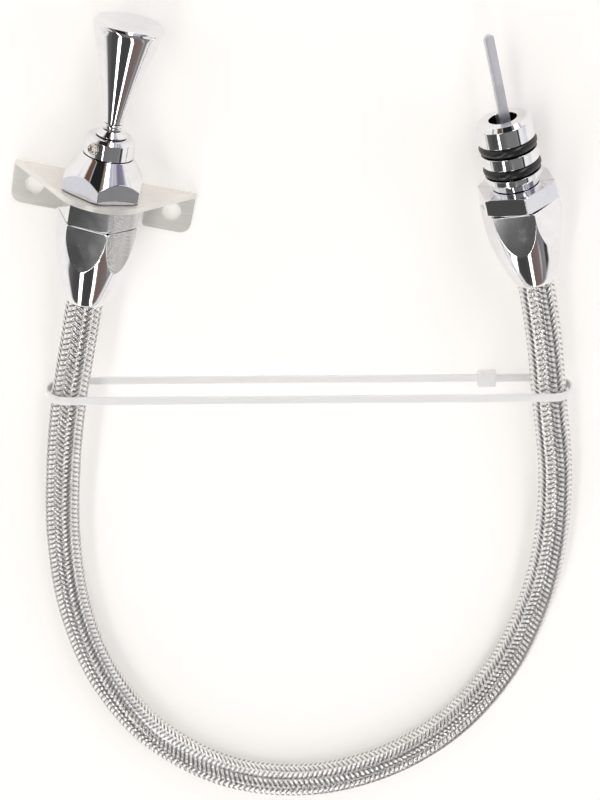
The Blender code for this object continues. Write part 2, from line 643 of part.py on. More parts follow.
def build():
    clear_scene()
    upper = make_frame("upper_axis", (0, 0, AXIS_HEIGHT), (0, 0, 0))
    lower = make_frame("lower_axis", LOWER_MOUTH, (LOWER_PITCH, 0, LOWER_HEADING))
    blade_axis = make_frame("blade_axis", (BLADE_OFFSET, 0, 0), (0, 0, 0))
    blade_axis.parent = lower

    make_grip(upper)
    make_grip_ring(upper)
    make_grip_skirt(upper)
    make_stem(upper)
    make_stem_seal(upper)
    make_cable_ferrule(upper)
    make_cable_head(upper)
    make_collar(upper)
    make_lock_screw(upper)
    make_cone_nut(upper)
    make_bracket(upper)
    spigot = [(THREAD_RADIUS, NIPPLE_TOP), (THREAD_RADIUS, NIPPLE_SPIGOT_TOP)]
    make_nipple("upper_nipple", UPPER_SEAM + GAP, NIPPLE_TOP, spigot, NIPPLE_TURN, upper)
    make_socket("upper_socket", UPPER_SEAM, NIPPLE_TURN, upper)

    make_socket("lower_socket", SOCKET_LENGTH, LOWER_SOCKET_TURN, lower)
    hex_top = PLUG_BOTTOM - GAP
    plug_spigot = [(PLUG_SPIGOT_RADIUS, hex_top), (PLUG_SPIGOT_RADIUS, hex_top + PLUG_SPIGOT_LENGTH)]
    make_nipple("lower_nipple", SOCKET_LENGTH + GAP, hex_top, plug_spigot, LOWER_NIPPLE_TURN, lower)
    make_plug(lower)
    make_plug_seals(lower)
    make_blade(blade_axis)
    make_blade_ferrule(blade_axis)
    make_cable_tail(blade_axis)

    make_hose()
    make_tie()


build()
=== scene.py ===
"""Looks of a flexible dipstick: braided hose between two polished fittings, a pull handle on a
bracket, and a sealing plug that the blade leaves through. Lengths are in metres.
"""
from math import asin, atan2, cos, pi, radians, sin, tau

import bmesh
import bpy
from mathutils import Euler, Matrix, Vector


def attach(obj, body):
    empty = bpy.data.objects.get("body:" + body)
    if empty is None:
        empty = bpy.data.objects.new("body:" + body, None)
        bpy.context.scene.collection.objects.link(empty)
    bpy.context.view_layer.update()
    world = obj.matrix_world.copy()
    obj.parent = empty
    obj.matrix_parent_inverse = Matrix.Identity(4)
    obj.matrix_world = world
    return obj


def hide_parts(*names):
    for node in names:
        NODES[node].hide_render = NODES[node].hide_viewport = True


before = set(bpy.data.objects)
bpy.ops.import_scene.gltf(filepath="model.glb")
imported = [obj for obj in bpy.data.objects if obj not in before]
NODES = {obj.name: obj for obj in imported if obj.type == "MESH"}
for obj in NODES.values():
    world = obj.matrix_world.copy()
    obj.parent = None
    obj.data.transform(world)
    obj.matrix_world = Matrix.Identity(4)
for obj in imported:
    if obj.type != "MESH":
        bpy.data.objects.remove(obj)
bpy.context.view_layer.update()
scene = bpy.context.scene

# ---------------------------------------------------------------- bench and light
# The part lies on a pale bench in a white tent. The room behind the lens stays dark, and the
# polished fittings mirror it as dark bands between white sides.
VIEW_FROM = Vector((0.0261, 0.2381, 0.6160))
LENS_RIGHT = Vector((0.9798, 0.1999, 0.0))
LENS_UP = Vector((-0.1781, 0.8730, -0.4540))
LENS_BACK = LENS_RIGHT.cross(LENS_UP).normalized()
BENCH_HALF = 3.0
BENCH_DROP = -0.0002
BENCH_GLOW = 0.27
TENT_POWER = 1.05
TUBE_POWER = 5.6
SILK_AIM = Vector((0.09, -0.07, 0.0))

camera = bpy.data.objects.new("camera", bpy.data.cameras.new("camera"))
camera.data.lens = 78.75
camera.data.sensor_width = 36.0
camera.data.clip_start = 0.01
camera.matrix_world = (Matrix.Translation(VIEW_FROM)
                       @ Matrix((LENS_RIGHT, LENS_UP, LENS_BACK)).transposed().to_4x4())
scene.collection.objects.link(camera)
scene.camera = camera
scene.view_settings.view_transform = "Standard"


def wire(tree, kind, values=None, **links):
    """Add a node, set its plain values, and link the named inputs to other sockets."""
    node = tree.nodes.new(kind)
    for name, value in (values or {}).items():
        if name in node.inputs:
            node.inputs[name].default_value = value
        else:
            setattr(node, name, value)
    for name, source in links.items():
        tree.links.new(source, node.inputs[name.replace("_", " ")])
    return node


def math_node(tree, operation, first, second=0.0, third=0.0):
    node = tree.nodes.new("ShaderNodeMath")
    node.operation = operation
    for index, value in enumerate((first, second, third)):
        if isinstance(value, (int, float)):
            node.inputs[index].default_value = value
        else:
            tree.links.new(value, node.inputs[index])
    return node.outputs[0]


def ramp_node(tree, source, stops):
    """Colour ramp from (place, grey or colour) stops."""
    node = tree.nodes.new("ShaderNodeValToRGB")
    elements = node.color_ramp.elements
    while len(elements) < len(stops):
        elements.new(0.5)
    for element, (place, tone) in zip(elements, stops):
        element.position = place
        element.color = (*tone, 1.0) if isinstance(tone, tuple) else (tone, tone, tone, 1.0)
    tree.links.new(source, node.inputs[0])
    return node.outputs[0]


def mix_colours(tree, blend, factor, first, second):
    node = tree.nodes.new("ShaderNodeMix")
    node.data_type = "RGBA"
    node.blend_type = blend
    for socket, value in ((0, factor), (6, first), (7, second)):
        if isinstance(value, (int, float)):
            node.inputs[socket].default_value = value
        elif isinstance(value, tuple):
            node.inputs[socket].default_value = (*value, 1.0)
        else:
            tree.links.new(value, node.inputs[socket])
    return node.outputs[2]


def dot_node(tree, source, direction):
    node = tree.nodes.new("ShaderNodeVectorMath")
    node.operation = "DOT_PRODUCT"
    tree.links.new(source, node.inputs[0])
    node.inputs[1].default_value = direction
    return node.outputs["Value"]


def mottle(tree, where, scale, detail, **more):
    """Noise of this scale over a surface, as a number about one half."""
    values = {"Scale": scale, "Detail": detail, **more}
    return wire(tree, "ShaderNodeTexNoise", values, Vector=where).outputs[0]


def light_the_tent():
    """A dark room overhead, seen between bright side walls, with a few bright tubes across it."""
    world = bpy.data.worlds.new("tent")
    scene.world = world
    world.use_nodes = True
    tree = world.node_tree
    tree.nodes.clear()
    way = tree.nodes.new("ShaderNodeTexCoord").outputs["Generated"]
    aside = math_node(tree, "MULTIPLY_ADD", dot_node(tree, way, LENS_RIGHT), 0.5, 0.5)
    ahead = math_node(tree, "MULTIPLY_ADD", dot_node(tree, way, LENS_UP), 0.5, 0.5)
    white = (0.97, 0.955, 0.935)
    pale = (0.72, 0.715, 0.76)
    brown = (0.17, 0.125, 0.11)
    rust = (0.16, 0.085, 0.065)
    low = ramp_node(tree, aside, [
        (0.00, pale), (0.05, white), (0.08, white), (0.10, 0.05), (0.25, 0.05), (0.262, white),
        (0.325, white), (0.34, 0.06), (0.53, 0.06), (0.545, white), (0.59, white), (0.61, brown),
        (0.75, (0.22, 0.17, 0.16)), (0.78, white), (0.92, white), (1.00, pale)])
    middle = ramp_node(tree, aside, [
        (0.00, white), (0.045, pale), (0.065, white), (0.09, 0.14), (0.16, 0.075), (0.275, 0.07),
        (0.292, white), (0.315, white), (0.33, 0.17), (0.56, 0.20), (0.79, 0.20), (0.845, 0.27),
        (0.858, 0.05), (0.885, 0.05), (0.90, white), (0.94, white), (1.00, pale)])
    far = ramp_node(tree, aside, [
        (0.00, pale), (0.05, white), (0.12, white), (0.135, (0.10, 0.10, 0.16)), (0.155, white),
        (0.20, white), (0.225, rust), (0.305, rust), (0.32, 0.55), (0.335, 0.02), (0.54, 0.02),
        (0.56, (0.26, 0.20, 0.18)), (0.59, (0.30, 0.23, 0.21)), (0.61, white), (0.69, white),
        (0.72, (0.45, 0.45, 0.58)), (0.78, pale), (0.79, 0.08), (0.80, pale),
        (0.86, (0.20, 0.18, 0.26)), (0.93, (0.28, 0.26, 0.34)), (0.96, white)])
    near_bench = ramp_node(tree, ahead, [(0.06, 0.0), (0.10, 1.0)])
    height = ramp_node(tree, ahead, [(0.50, 0.0), (0.58, 1.0)])
    room = mix_colours(tree, "MIX", near_bench, low, middle)
    room = mix_colours(tree, "MIX", height, room, far)
    reach = ramp_node(tree, dot_node(tree, way, (0.0, 0.0, 1.0)), [(0.02, 0.0), (0.12, 1.0)])
    sky = mix_colours(tree, "MIX", reach, white, room)
    low_tubes = ramp_node(tree, aside, [(0.262, 0.0), (0.27, 1.0), (0.32, 1.0), (0.33, 0.0),
                                        (0.545, 0.0), (0.55, 1.0), (0.585, 1.0), (0.59, 0.0)])
    middle_tubes = ramp_node(tree, aside, [(0.285, 0.0), (0.293, 1.0), (0.314, 1.0), (0.32, 0.0)])
    far_tubes = ramp_node(tree, aside, [(0.61, 0.0), (0.62, 1.0), (0.68, 1.0), (0.69, 0.0)])
    tubes = mix_colours(tree, "MIX", near_bench, low_tubes, middle_tubes)
    tubes = mix_colours(tree, "MIX", height, tubes, far_tubes)
    tubes = math_node(tree, "MULTIPLY", tubes, reach)
    strength = math_node(tree, "MULTIPLY_ADD", tubes, TUBE_POWER, TENT_POWER)
    glow = wire(tree, "ShaderNodeBackground", Color=sky, Strength=strength)
    wire(tree, "ShaderNodeOutputWorld", Surface=glow.outputs[0])


light_the_tent()

# Wide silk panels; they light the bench but are kept out of the mirror finish.
SILKS = (
    ("silk_left", (-0.95, 0.10, 1.10), 1.4, 3.0, (1.0, 0.985, 0.96)),
    ("silk_right", (1.15, 0.10, 1.10), 1.4, 3.0, (0.98, 0.985, 1.0)),
    ("silk_above", (0.10, -0.60, 1.60), 1.8, 3.2, (1.0, 0.99, 0.98)),
)
for name, place, size, power, tint in SILKS:
    lamp = bpy.data.lights.new(name, "AREA")
    lamp.size = size
    lamp.energy = power
    lamp.color = tint
    box = bpy.data.objects.new(name, lamp)
    box.location = place
    box.rotation_euler = (SILK_AIM - Vector(place)).to_track_quat("-Z", "Y").to_euler()
    box.visible_glossy = False
    scene.collection.objects.link(box)


def new_object(name, mesh, material):
    item = bpy.data.objects.new(name, mesh)
    scene.collection.objects.link(item)
    item.data.materials.append(material)
    return item


def new_material(name, roughness, metallic=0.0):
    material = bpy.data.materials.new(name)
    material.use_nodes = True
    shader = material.node_tree.nodes["Principled BSDF"]
    shader.inputs["Roughness"].default_value = roughness
    shader.inputs["Metallic"].default_value = metallic
    return material, material.node_tree, shader


def place_on(tree):
    """Where a point lies on the object, which every pattern is laid out by."""
    return tree.nodes.new("ShaderNodeTexCoord").outputs["Object"]


shape = bmesh.new()
bmesh.ops.create_grid(shape, x_segments=1, y_segments=1, size=BENCH_HALF)
bmesh.ops.translate(shape, verts=shape.verts[:], vec=(0, 0, BENCH_DROP))
bench_mesh = bpy.data.meshes.new("bench")
shape.to_mesh(bench_mesh)
shape.free()
bench_card, tree, shader = new_material("bench_card", 0.75)
shader.inputs["Specular IOR Level"].default_value = 0.2
cloud = mottle(tree, place_on(tree), 4.0, 3.0)
tone = ramp_node(tree, cloud, [(0.3, (0.905, 0.885, 0.86)), (0.7, (0.93, 0.912, 0.89))])
tree.links.new(tone, shader.inputs["Base Color"])
tree.links.new(tone, shader.inputs["Emission Color"])
shader.inputs["Emission Strength"].default_value = BENCH_GLOW
new_object("bench", bench_mesh, bench_card)

# ---------------------------------------------------------------- hose
# Stainless line hose: a black rubber tube inside 24 carriers of bright wire, six wires side by
# side in each, plaited over two and under two. The wires are drawn steel, woven by machine.
HOSE_RADIUS = 0.0071
HOSE_ROUTE = (
    (0.0000, -0.0352, 0.0176), (0.0000, -0.0550, 0.0173), (0.0000, -0.0800, 0.0152),
    (0.0018, -0.1100, 0.0118), (0.0065, -0.1450, 0.0084), (0.0165, -0.1800, 0.0073),
    (0.0340, -0.2120, 0.0073), (0.0600, -0.2375, 0.0073), (0.0940, -0.2508, 0.0073),
    (0.1290, -0.2480, 0.0073), (0.1600, -0.2315, 0.0073), (0.1835, -0.2050, 0.0073),
    (0.1975, -0.1720, 0.0073), (0.2022, -0.1380, 0.0073), (0.2005, -0.1070, 0.0074),
    (0.1938, -0.0760, 0.0082), (0.1835, -0.0470, 0.0100), (0.1735, -0.0195, 0.0118),
    (0.1633, 0.0047, 0.0133),
)
UPPER_MOUTH = Vector(HOSE_ROUTE[0])
LOWER_MOUTH = Vector(HOSE_ROUTE[-1])
LOWER_TURN = Euler((radians(3.4), 0.0, radians(25.6)))
LOWER_WAY = LOWER_TURN.to_matrix() @ Vector((0, 1, 0))
HOSE_TUCKED = 0.005
LINE_SPACING = 0.001
TUBE_RADIUS = 0.00625
TUBE_WALL = 0.0008
CARRIERS_EACH_WAY = 12
LAY_LENGTH = 0.0274
STEPS_PER_TURN = 40
WIRES = 6
COLUMNS_PER_WIRE = 3
RIBBON_FILL = 0.89
BRAID_LIFT = 0.00030
WIRE_RADIUS = 0.00015
WIRE_GROOVE = 0.00020
CARRIER_CROWN = 0.00030
CARRIERS_PER_PIECE = 4
CURVE_STEPS = 24


def smooth_line(points, spacing):
    """Points close together on a smooth curve through the given ones, evenly spaced."""
    knots = [Vector(point) for point in points]
    ends = [2.0 * knots[0] - knots[1]] + knots + [2.0 * knots[-1] - knots[-2]]
    dense = []
    for before, here, there, after in zip(ends, ends[1:], ends[2:], ends[3:]):
        for step in range(CURVE_STEPS):
            t = step / CURVE_STEPS
            dense.append(0.5 * (2.0 * here + (there - before) * t
                                + (2.0 * before - 5.0 * here + 4.0 * there - after) * t * t
                                + (3.0 * here - before - 3.0 * there + after) * t ** 3))
    dense.append(knots[-1])
    lengths = [0.0]
    for here, there in zip(dense, dense[1:]):
        lengths.append(lengths[-1] + (there - here).length)
    count = round(lengths[-1] / spacing)
    even = []
    index = 0
    for step in range(count + 1):
        wanted = lengths[-1] * step / count
        while index < len(lengths) - 2 and lengths[index + 1] < wanted:
            index += 1
        part = (wanted - lengths[index]) / (lengths[index + 1] - lengths[index])
        even.append(dense[index].lerp(dense[index + 1], part))
    return even


def frames_along(line):
    """Along, side and up directions carried along a line without twist."""
    frames = []
    side = Vector((1, 0, 0))
    for index, point in enumerate(line):
        along = (line[min(index + 1, len(line) - 1)] - line[max(index - 1, 0)]).normalized()
        side = (side - along * side.dot(along)).normalized()
        frames.append((point, along, side, along.cross(side)))
    return frames


upper_tail = UPPER_MOUTH + Vector((0, HOSE_TUCKED, 0))
lower_tail = LOWER_MOUTH + LOWER_WAY * HOSE_TUCKED
hose_line = smooth_line([upper_tail, *HOSE_ROUTE, lower_tail], LINE_SPACING)
hose_frames = frames_along(hose_line)
hose_length = sum((there - here).length for here, there in zip(hose_line, hose_line[1:]))


def hose_place(distance, angle, radius):
    """A point on the hose, by the distance along it, the angle round it and the radius."""
    place = max(0.0, min(distance / hose_length, 1.0)) * (len(hose_frames) - 1)
    index = min(int(place), len(hose_frames) - 2)
    part = place - index
    first, second = hose_frames[index], hose_frames[index + 1]
    point = first[0].lerp(second[0], part)
    side = first[2].lerp(second[2], part)
    lift = first[3].lerp(second[3], part)
    return point + (side * cos(angle) + lift * sin(angle)) * radius


def new_group(name, inputs, outputs):
    """Shader group with these number inputs, each with its default, and these number outputs."""
    group = bpy.data.node_groups.new(name, "ShaderNodeTree")
    for title, value in inputs.items():
        socket = group.interface.new_socket(title, in_out="INPUT", socket_type="NodeSocketFloat")
        socket.default_value = value
    for title in outputs:
        group.interface.new_socket(title, in_out="OUTPUT", socket_type="NodeSocketFloat")
    entry = group.nodes.new("NodeGroupInput")
    leave = group.nodes.new("NodeGroupOutput")
    return group, entry, leave


def place_group(tree, group, **values):
    node = tree.nodes.new("ShaderNodeGroup")
    node.node_tree = group
    for name, value in values.items():
        node.inputs[name].default_value = value
    return node


def tarnish_group():
    """Slow cloudy change of tone and gloss over a metal surface, with a few fine specks."""
    group, entry, leave = new_group("tarnish", {"Scale": 60.0, "Tone": 0.1, "Gloss": 0.1},
                                    ("Tone", "Roughness"))
    where = place_on(group)
    cloud = wire(group, "ShaderNodeTexNoise", {"Detail": 4.0, "Roughness": 0.6}, Vector=where)
    group.links.new(entry.outputs["Scale"], cloud.inputs["Scale"])
    fine_scale = math_node(group, "MULTIPLY", entry.outputs["Scale"], 14.0)
    specks = wire(group, "ShaderNodeTexNoise", {"Detail": 2.0}, Vector=where)
    group.links.new(fine_scale, specks.inputs["Scale"])
    centred = math_node(group, "SUBTRACT", cloud.outputs[0], 0.5)
    past_mean = math_node(group, "SUBTRACT", specks.outputs[0], 0.64)
    speck_mask = math_node(group, "MAXIMUM", past_mean, 0.0)
    dull = math_node(group, "MULTIPLY_ADD", speck_mask, -2.0, 1.0)
    tone = math_node(group, "MULTIPLY_ADD", centred, entry.outputs["Tone"], dull)
    gloss = math_node(group, "MULTIPLY", centred, entry.outputs["Gloss"])
    rough = math_node(group, "MULTIPLY_ADD", speck_mask, 1.2, gloss)
    group.links.new(tone, leave.inputs["Tone"])
    group.links.new(rough, leave.inputs["Roughness"])
    return group


TARNISH = tarnish_group()

def finish(tree, shader, colour, grain, roughness, tone=None):
    """Colour and gloss of a surface, each made uneven by what a placed group gives."""
    colour = mix_colours(tree, "MULTIPLY", 1.0, colour, tone or grain.outputs["Tone"])
    tree.links.new(colour, shader.inputs["Base Color"])
    uneven = math_node(tree, "ADD", grain.outputs["Roughness"], roughness)
    tree.links.new(uneven, shader.inputs["Roughness"])


rubber_tube, tree, shader = new_material("tube_rubber", 0.55)
grain = place_group(tree, TARNISH, Scale=300.0, Tone=0.6, Gloss=0.3)
finish(tree, shader, (0.030, 0.029, 0.028), grain, 0.55)

tube_curve = bpy.data.curves.new("hose_tube", "CURVE")
tube_curve.dimensions = "3D"
tube_curve.bevel_depth = TUBE_RADIUS
tube_curve.bevel_resolution = 6
tube_points = hose_line[::3] + [hose_line[-1]]
spline = tube_curve.splines.new("POLY")
spline.points.add(len(tube_points) - 1)
for point, place in zip(spline.points, tube_points):
    point.co = (*place, 1.0)
hose_tube = new_object("hose_tube", tube_curve, rubber_tube)
tube_wall = hose_tube.modifiers.new("wall", "SOLIDIFY")
tube_wall.thickness = TUBE_WALL
tube_wall.offset = -1.0
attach(hose_tube, "housing")
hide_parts("hose_liner")


def braid_steel(name, tone):
    """Bright drawn wire with painted shade in its colour: the grooves between wires are darkened, and
    each carrier's edges more so.
    """
    material, tree, shader = new_material(name, 0.20, 0.88)
    spread = tree.nodes.new("ShaderNodeUVMap").outputs[0]
    across = wire(tree, "ShaderNodeSeparateXYZ", Vector=spread).outputs[1]
    wave = math_node(tree, "SINE", math_node(tree, "MULTIPLY", across, pi * WIRES))
    round_wire = math_node(tree, "ABSOLUTE", wave)
    # painted shade: the grooves between the wires darken the base colour
    painted_gap_shade = ramp_node(tree, round_wire, [(0.0, 0.42), (0.35, 0.88), (0.7, 1.0)])
    edge = math_node(tree, "ABSOLUTE", math_node(tree, "MULTIPLY_ADD", across, 2.0, -1.0))
    # painted shade: each carrier's edges are darkened where it dips beside its neighbours
    painted_edge_shade = ramp_node(tree, edge, [(0.0, 1.0), (0.62, 0.97), (0.85, 0.50), (1.0, 0.16)])
    grain = place_group(tree, TARNISH, Scale=90.0, Tone=0.30, Gloss=0.08)
    # shade joins the painted shade of grooves and edges with the tarnish tone
    shade = mix_colours(tree, "MULTIPLY", 1.0, painted_gap_shade, painted_edge_shade)
    shade = mix_colours(tree, "MULTIPLY", 1.0, shade, grain.outputs["Tone"])
    finish(tree, shader, tone, grain, 0.20, shade)
    return material


def weave_carrier(shape, number, way):
    """One flat carrier of wires laid round the hose, passing over two and under two others."""
    turns = hose_length / LAY_LENGTH
    steps = int(turns * STEPS_PER_TURN)
    slant = atan2(tau * HOSE_RADIUS, LAY_LENGTH)
    half_width = RIBBON_FILL * LAY_LENGTH / CARRIERS_EACH_WAY * sin(slant) / 2.0
    columns = WIRES * COLUMNS_PER_WIRE
    grown = bmesh.ops.create_grid(shape, x_segments=steps, y_segments=columns, size=0.5, calc_uvs=True)
    start = tau * number / CARRIERS_EACH_WAY
    middle = HOSE_RADIUS - BRAID_LIFT - WIRE_RADIUS
    for vert in grown["verts"]:
        along = vert.co.x + 0.5
        across = vert.co.y * 2.0
        twist = tau * turns * along
        crossing = twist * CARRIERS_EACH_WAY / pi
        lift = BRAID_LIFT * way * cos((2.0 * number + way * crossing - 0.5) * pi / 2.0)
        column = round((vert.co.y + 0.5) * columns)
        ridge = WIRE_RADIUS if column % COLUMNS_PER_WIRE else WIRE_RADIUS - WIRE_GROOVE
        crown = CARRIER_CROWN * across * across
        aside = across * half_width
        vert.co = hose_place(along * hose_length - way * sin(slant) * aside,
                             start + way * twist + cos(slant) * aside / HOSE_RADIUS,
                             middle + lift + ridge - crown)


def weave_piece(name, numbers, way, material):
    shape = bmesh.new()
    shape.loops.layers.uv.new("across_the_wires")
    for number in numbers:
        weave_carrier(shape, number, way)
    bmesh.ops.recalc_face_normals(shape, faces=shape.faces[:])
    mesh = bpy.data.meshes.new(name)
    shape.to_mesh(mesh)
    shape.free()
    mesh.shade_smooth()
    item = new_object(name, mesh, material)
    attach(item, "housing")
    return item


for way, tone in ((1, (1.0, 0.98, 0.955)), (-1, (0.98, 0.965, 0.95))):
    hand = "right" if way > 0 else "left"
    steel = braid_steel("braid_steel_" + hand, tone)
    for first in range(0, CARRIERS_EACH_WAY, CARRIERS_PER_PIECE):
        weave_piece("braid_" + hand + "_" + str(first // CARRIERS_PER_PIECE + 1),
                                        range(first, first + CARRIERS_PER_PIECE), way, steel)
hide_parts("hose_braid")

# ---------------------------------------------------------------- hose sockets
# A socket at each end grips the hose: turned from bar, milled with six flats that run out on its
# taper, then polished and plated. The upper one stands behind the bracket, the lower by the plug.
UPPER_PLACE = Matrix.Translation((0.0, 0.0, 0.0176))
LOWER_PLACE = Matrix.Translation(LOWER_MOUTH) @ LOWER_TURN.to_matrix().to_4x4()
UPPER_SEAM = -0.0026
UPPER_HEX_TURN = radians(19.0)
LOWER_SOCKET_TURN = radians(14.0)
HEX_CORNER = 0.01524
SOCKET_LENGTH = 0.0326
SOCKET_MOUTH = 0.0079
SOCKET_BORE = 0.0074
SOCKET_THREAD = 0.0083
SOCKET_THREAD_DEPTH = 0.0092
SOCKET_CURVE = 1.85
SOCKET_STEPS = 20
TURN_STEPS = 120


def eased(profile, radius, ring=False):
    """A profile whose sharp corners are each rounded by a few points."""
    rounded = []
    count = len(profile)
    for index, corner in enumerate(profile):
        if not ring and index in (0, count - 1):
            rounded.append(corner)
            continue
        here = Vector(corner)
        before = Vector(profile[index - 1]) - here
        after = Vector(profile[(index + 1) % count]) - here
        if before.angle(after) > radians(160):
            rounded.append(corner)
            continue
        reach = min(radius, before.length * 0.45, after.length * 0.45)
        first = here + before.normalized() * reach
        last = here + after.normalized() * reach
        for step in range(5):
            t = step / 4
            rounded.append(tuple(first * (1 - t) ** 2 + here * 2 * t * (1 - t) + last * t ** 2))
    return rounded


def turned(profile, steps=TURN_STEPS):
    """Spin a profile of (radius, height along Y) about the Y axis."""
    shape = bmesh.new()
    corners = [shape.verts.new((radius, height, 0.0)) for radius, height in profile]
    pairs = list(zip(corners, corners[1:]))
    if min(radius for radius, height in profile) > 0.0:
        pairs.append((corners[-1], corners[0]))
    edges = [shape.edges.new(pair) for pair in pairs]
    bmesh.ops.spin(shape, geom=corners + edges, cent=(0, 0, 0), axis=(0, 1, 0),
                   angle=tau, steps=steps, use_merge=True)
    bmesh.ops.remove_doubles(shape, verts=shape.verts[:], dist=1e-7)
    bmesh.ops.dissolve_degenerate(shape, dist=1e-7, edges=shape.edges[:])
    return shape


def mill_flats(shape, corner_radius, first_corner, ease):
    """Cut six flats on a turned shape and ease the edges they leave."""
    apothem = corner_radius * cos(pi / 6)
    for side in range(6):
        angle = first_corner + pi / 6 + tau * side / 6
        outward = Vector((sin(angle), 0.0, cos(angle)))
        bmesh.ops.bisect_plane(shape, geom=shape.verts[:] + shape.edges[:] + shape.faces[:], dist=1e-6,
                               plane_co=outward * apothem, plane_no=outward, clear_outer=True)
        open_edges = [edge for edge in shape.edges if edge.is_boundary]
        bmesh.ops.holes_fill(shape, edges=open_edges, sides=0)
    bmesh.ops.remove_doubles(shape, verts=shape.verts[:], dist=0.00007)
    bmesh.ops.recalc_face_normals(shape, faces=shape.faces[:])
    sharp = [edge for edge in shape.edges
             if len(edge.link_faces) == 2 and edge.calc_face_angle() > radians(12)
             and any(is_flat(face, apothem) for face in edge.link_faces)]
    ease_corners(shape, sharp, ease, 2)


def ease_corners(shape, geom, offset, segments, affect="EDGES"):
    bmesh.ops.bevel(shape, geom=geom, offset=offset, segments=segments, affect=affect,
                    profile=0.5, material=-1)


def is_flat(face, apothem):
    """Whether a face is one of the milled flats."""
    reach = face.calc_center_median().dot(face.normal)
    return abs(face.normal.y) < 0.001 and abs(reach - apothem) < 1e-5 and face.calc_area() > 4e-6


def polish_group():
    """Hand polish under plating: slow waves in the surface, fine swirl lines and a few smudges."""
    group, entry, leave = new_group("polish", {"Waves": 0.3, "Smudge": 0.05},
                                    ("Tone", "Roughness", "Height"))
    where = place_on(group)
    slow = mottle(group, where, 55.0, 1.0)
    swirl = mottle(group, where, 900.0, 2.0, Distortion=0.6)
    smear = mottle(group, where, 120.0, 5.0, Roughness=0.65)
    smudge = ramp_node(group, smear, [(0.46, 0.0), (0.72, 1.0)])
    rough = math_node(group, "MULTIPLY", smudge, entry.outputs["Smudge"])
    rough = math_node(group, "MULTIPLY_ADD", swirl, 0.018, rough)
    tone = math_node(group, "MULTIPLY_ADD", smudge, -0.06, 1.0)
    height = math_node(group, "MULTIPLY", slow, entry.outputs["Waves"])
    height = math_node(group, "MULTIPLY_ADD", swirl, 0.01, height)
    group.links.new(tone, leave.inputs["Tone"])
    group.links.new(rough, leave.inputs["Roughness"])
    group.links.new(height, leave.inputs["Height"])
    return group


POLISH = polish_group()


def add_bumps(tree, shader, strength, distance, height):
    bump = wire(tree, "ShaderNodeBump", {"Strength": strength, "Distance": distance}, Height=height)
    tree.links.new(bump.outputs[0], shader.inputs["Normal"])


def polished_plate(name, waves):
    """Polished and plated alloy."""
    material, tree, shader = new_material(name, 0.04, 1.0)
    polish = place_group(tree, POLISH, Waves=waves, Smudge=0.05)
    finish(tree, shader, (0.83, 0.83, 0.85), polish, 0.035)
    add_bumps(tree, shader, 0.35, 0.0004, polish.outputs["Height"])
    return material


def fit_piece(name, shape, place, material, body, stands_for, crease=38.0, even=True):
    """Set a finished shape in its place on a body of the part."""
    bmesh.ops.remove_doubles(shape, verts=shape.verts[:], dist=1e-7)
    bmesh.ops.recalc_face_normals(shape, faces=shape.faces[:])
    bmesh.ops.transform(shape, matrix=place, verts=shape.verts[:])
    mesh = bpy.data.meshes.new(name)
    shape.to_mesh(mesh)
    shape.free()
    mesh.shade_smooth()
    mesh.set_sharp_from_angle(angle=radians(crease))
    item = new_object(name, mesh, material)
    if even:
        item.modifiers.new("even_shading", "WEIGHTED_NORMAL").keep_sharp = True
    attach(item, body)
    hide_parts(stands_for)
    return item


def fit_plated(name, shape, place, plate, stands_for, body="housing", waves=0.3, crease=38.0):
    """Fit a piece that is polished and plated."""
    fit_piece(name, shape, place, polished_plate(plate, waves), body,
              stands_for, crease)


def make_socket(name, top, first_corner, place, stands_for):
    narrowing = HEX_CORNER - SOCKET_MOUTH
    mouth = top - SOCKET_LENGTH
    outside = [(HEX_CORNER - narrowing * (step / SOCKET_STEPS) ** SOCKET_CURVE,
                top - SOCKET_LENGTH * step / SOCKET_STEPS) for step in range(SOCKET_STEPS, -1, -1)]
    outside[-1] = (HEX_CORNER, top - 0.0006)
    outside[0] = (SOCKET_MOUTH - 0.0001, mouth + 0.0002)
    ledge = top - SOCKET_THREAD_DEPTH
    profile = [(SOCKET_BORE, mouth), (SOCKET_MOUTH - 0.0004, mouth)] + outside
    profile += [(HEX_CORNER - 0.0009, top), (SOCKET_THREAD, top),
                (SOCKET_THREAD, ledge), (SOCKET_BORE, ledge)]
    shape = turned(profile)
    mill_flats(shape, HEX_CORNER - 0.0001, first_corner, 0.00016)
    fit_plated(name, shape, place, name + "_plate", stands_for)


make_socket("socket_upper_shell", UPPER_SEAM, UPPER_HEX_TURN, UPPER_PLACE, "upper_socket")
make_socket("socket_lower_shell", SOCKET_LENGTH, LOWER_SOCKET_TURN, LOWER_PLACE, "lower_socket")

# ---------------------------------------------------------------- nipples
# Each socket screws to a hexagonal nipple whose barbed tail holds the hose. The upper nipple also
# passes through the bracket; the lower one carries the plug. Turned, milled and plated.
UPPER_HEX_BOTTOM = -0.0023
UPPER_HEX_TOP = 0.0061
LOWER_HEX_BOTTOM = 0.0329
LOWER_HEX_TOP = 0.0396
LOWER_NIPPLE_TURN = radians(5.0)
NIPPLE_CHAMFER = 0.0010
NIPPLE_CHAMFER_RISE = 0.0006
NIPPLE_THREAD = 0.0078
NIPPLE_THREAD_LENGTH = 0.0088
NIPPLE_TAIL = 0.00385
NIPPLE_TAIL_LENGTH = 0.0266
NIPPLE_BORE = 0.0031
UPPER_SPIGOT = (0.0090, 0.0136)
LOWER_SPIGOT = (0.0063, 0.0433)
BARBS = 5
BARB_PITCH = 0.003
BARB_DEPTH = 0.0003


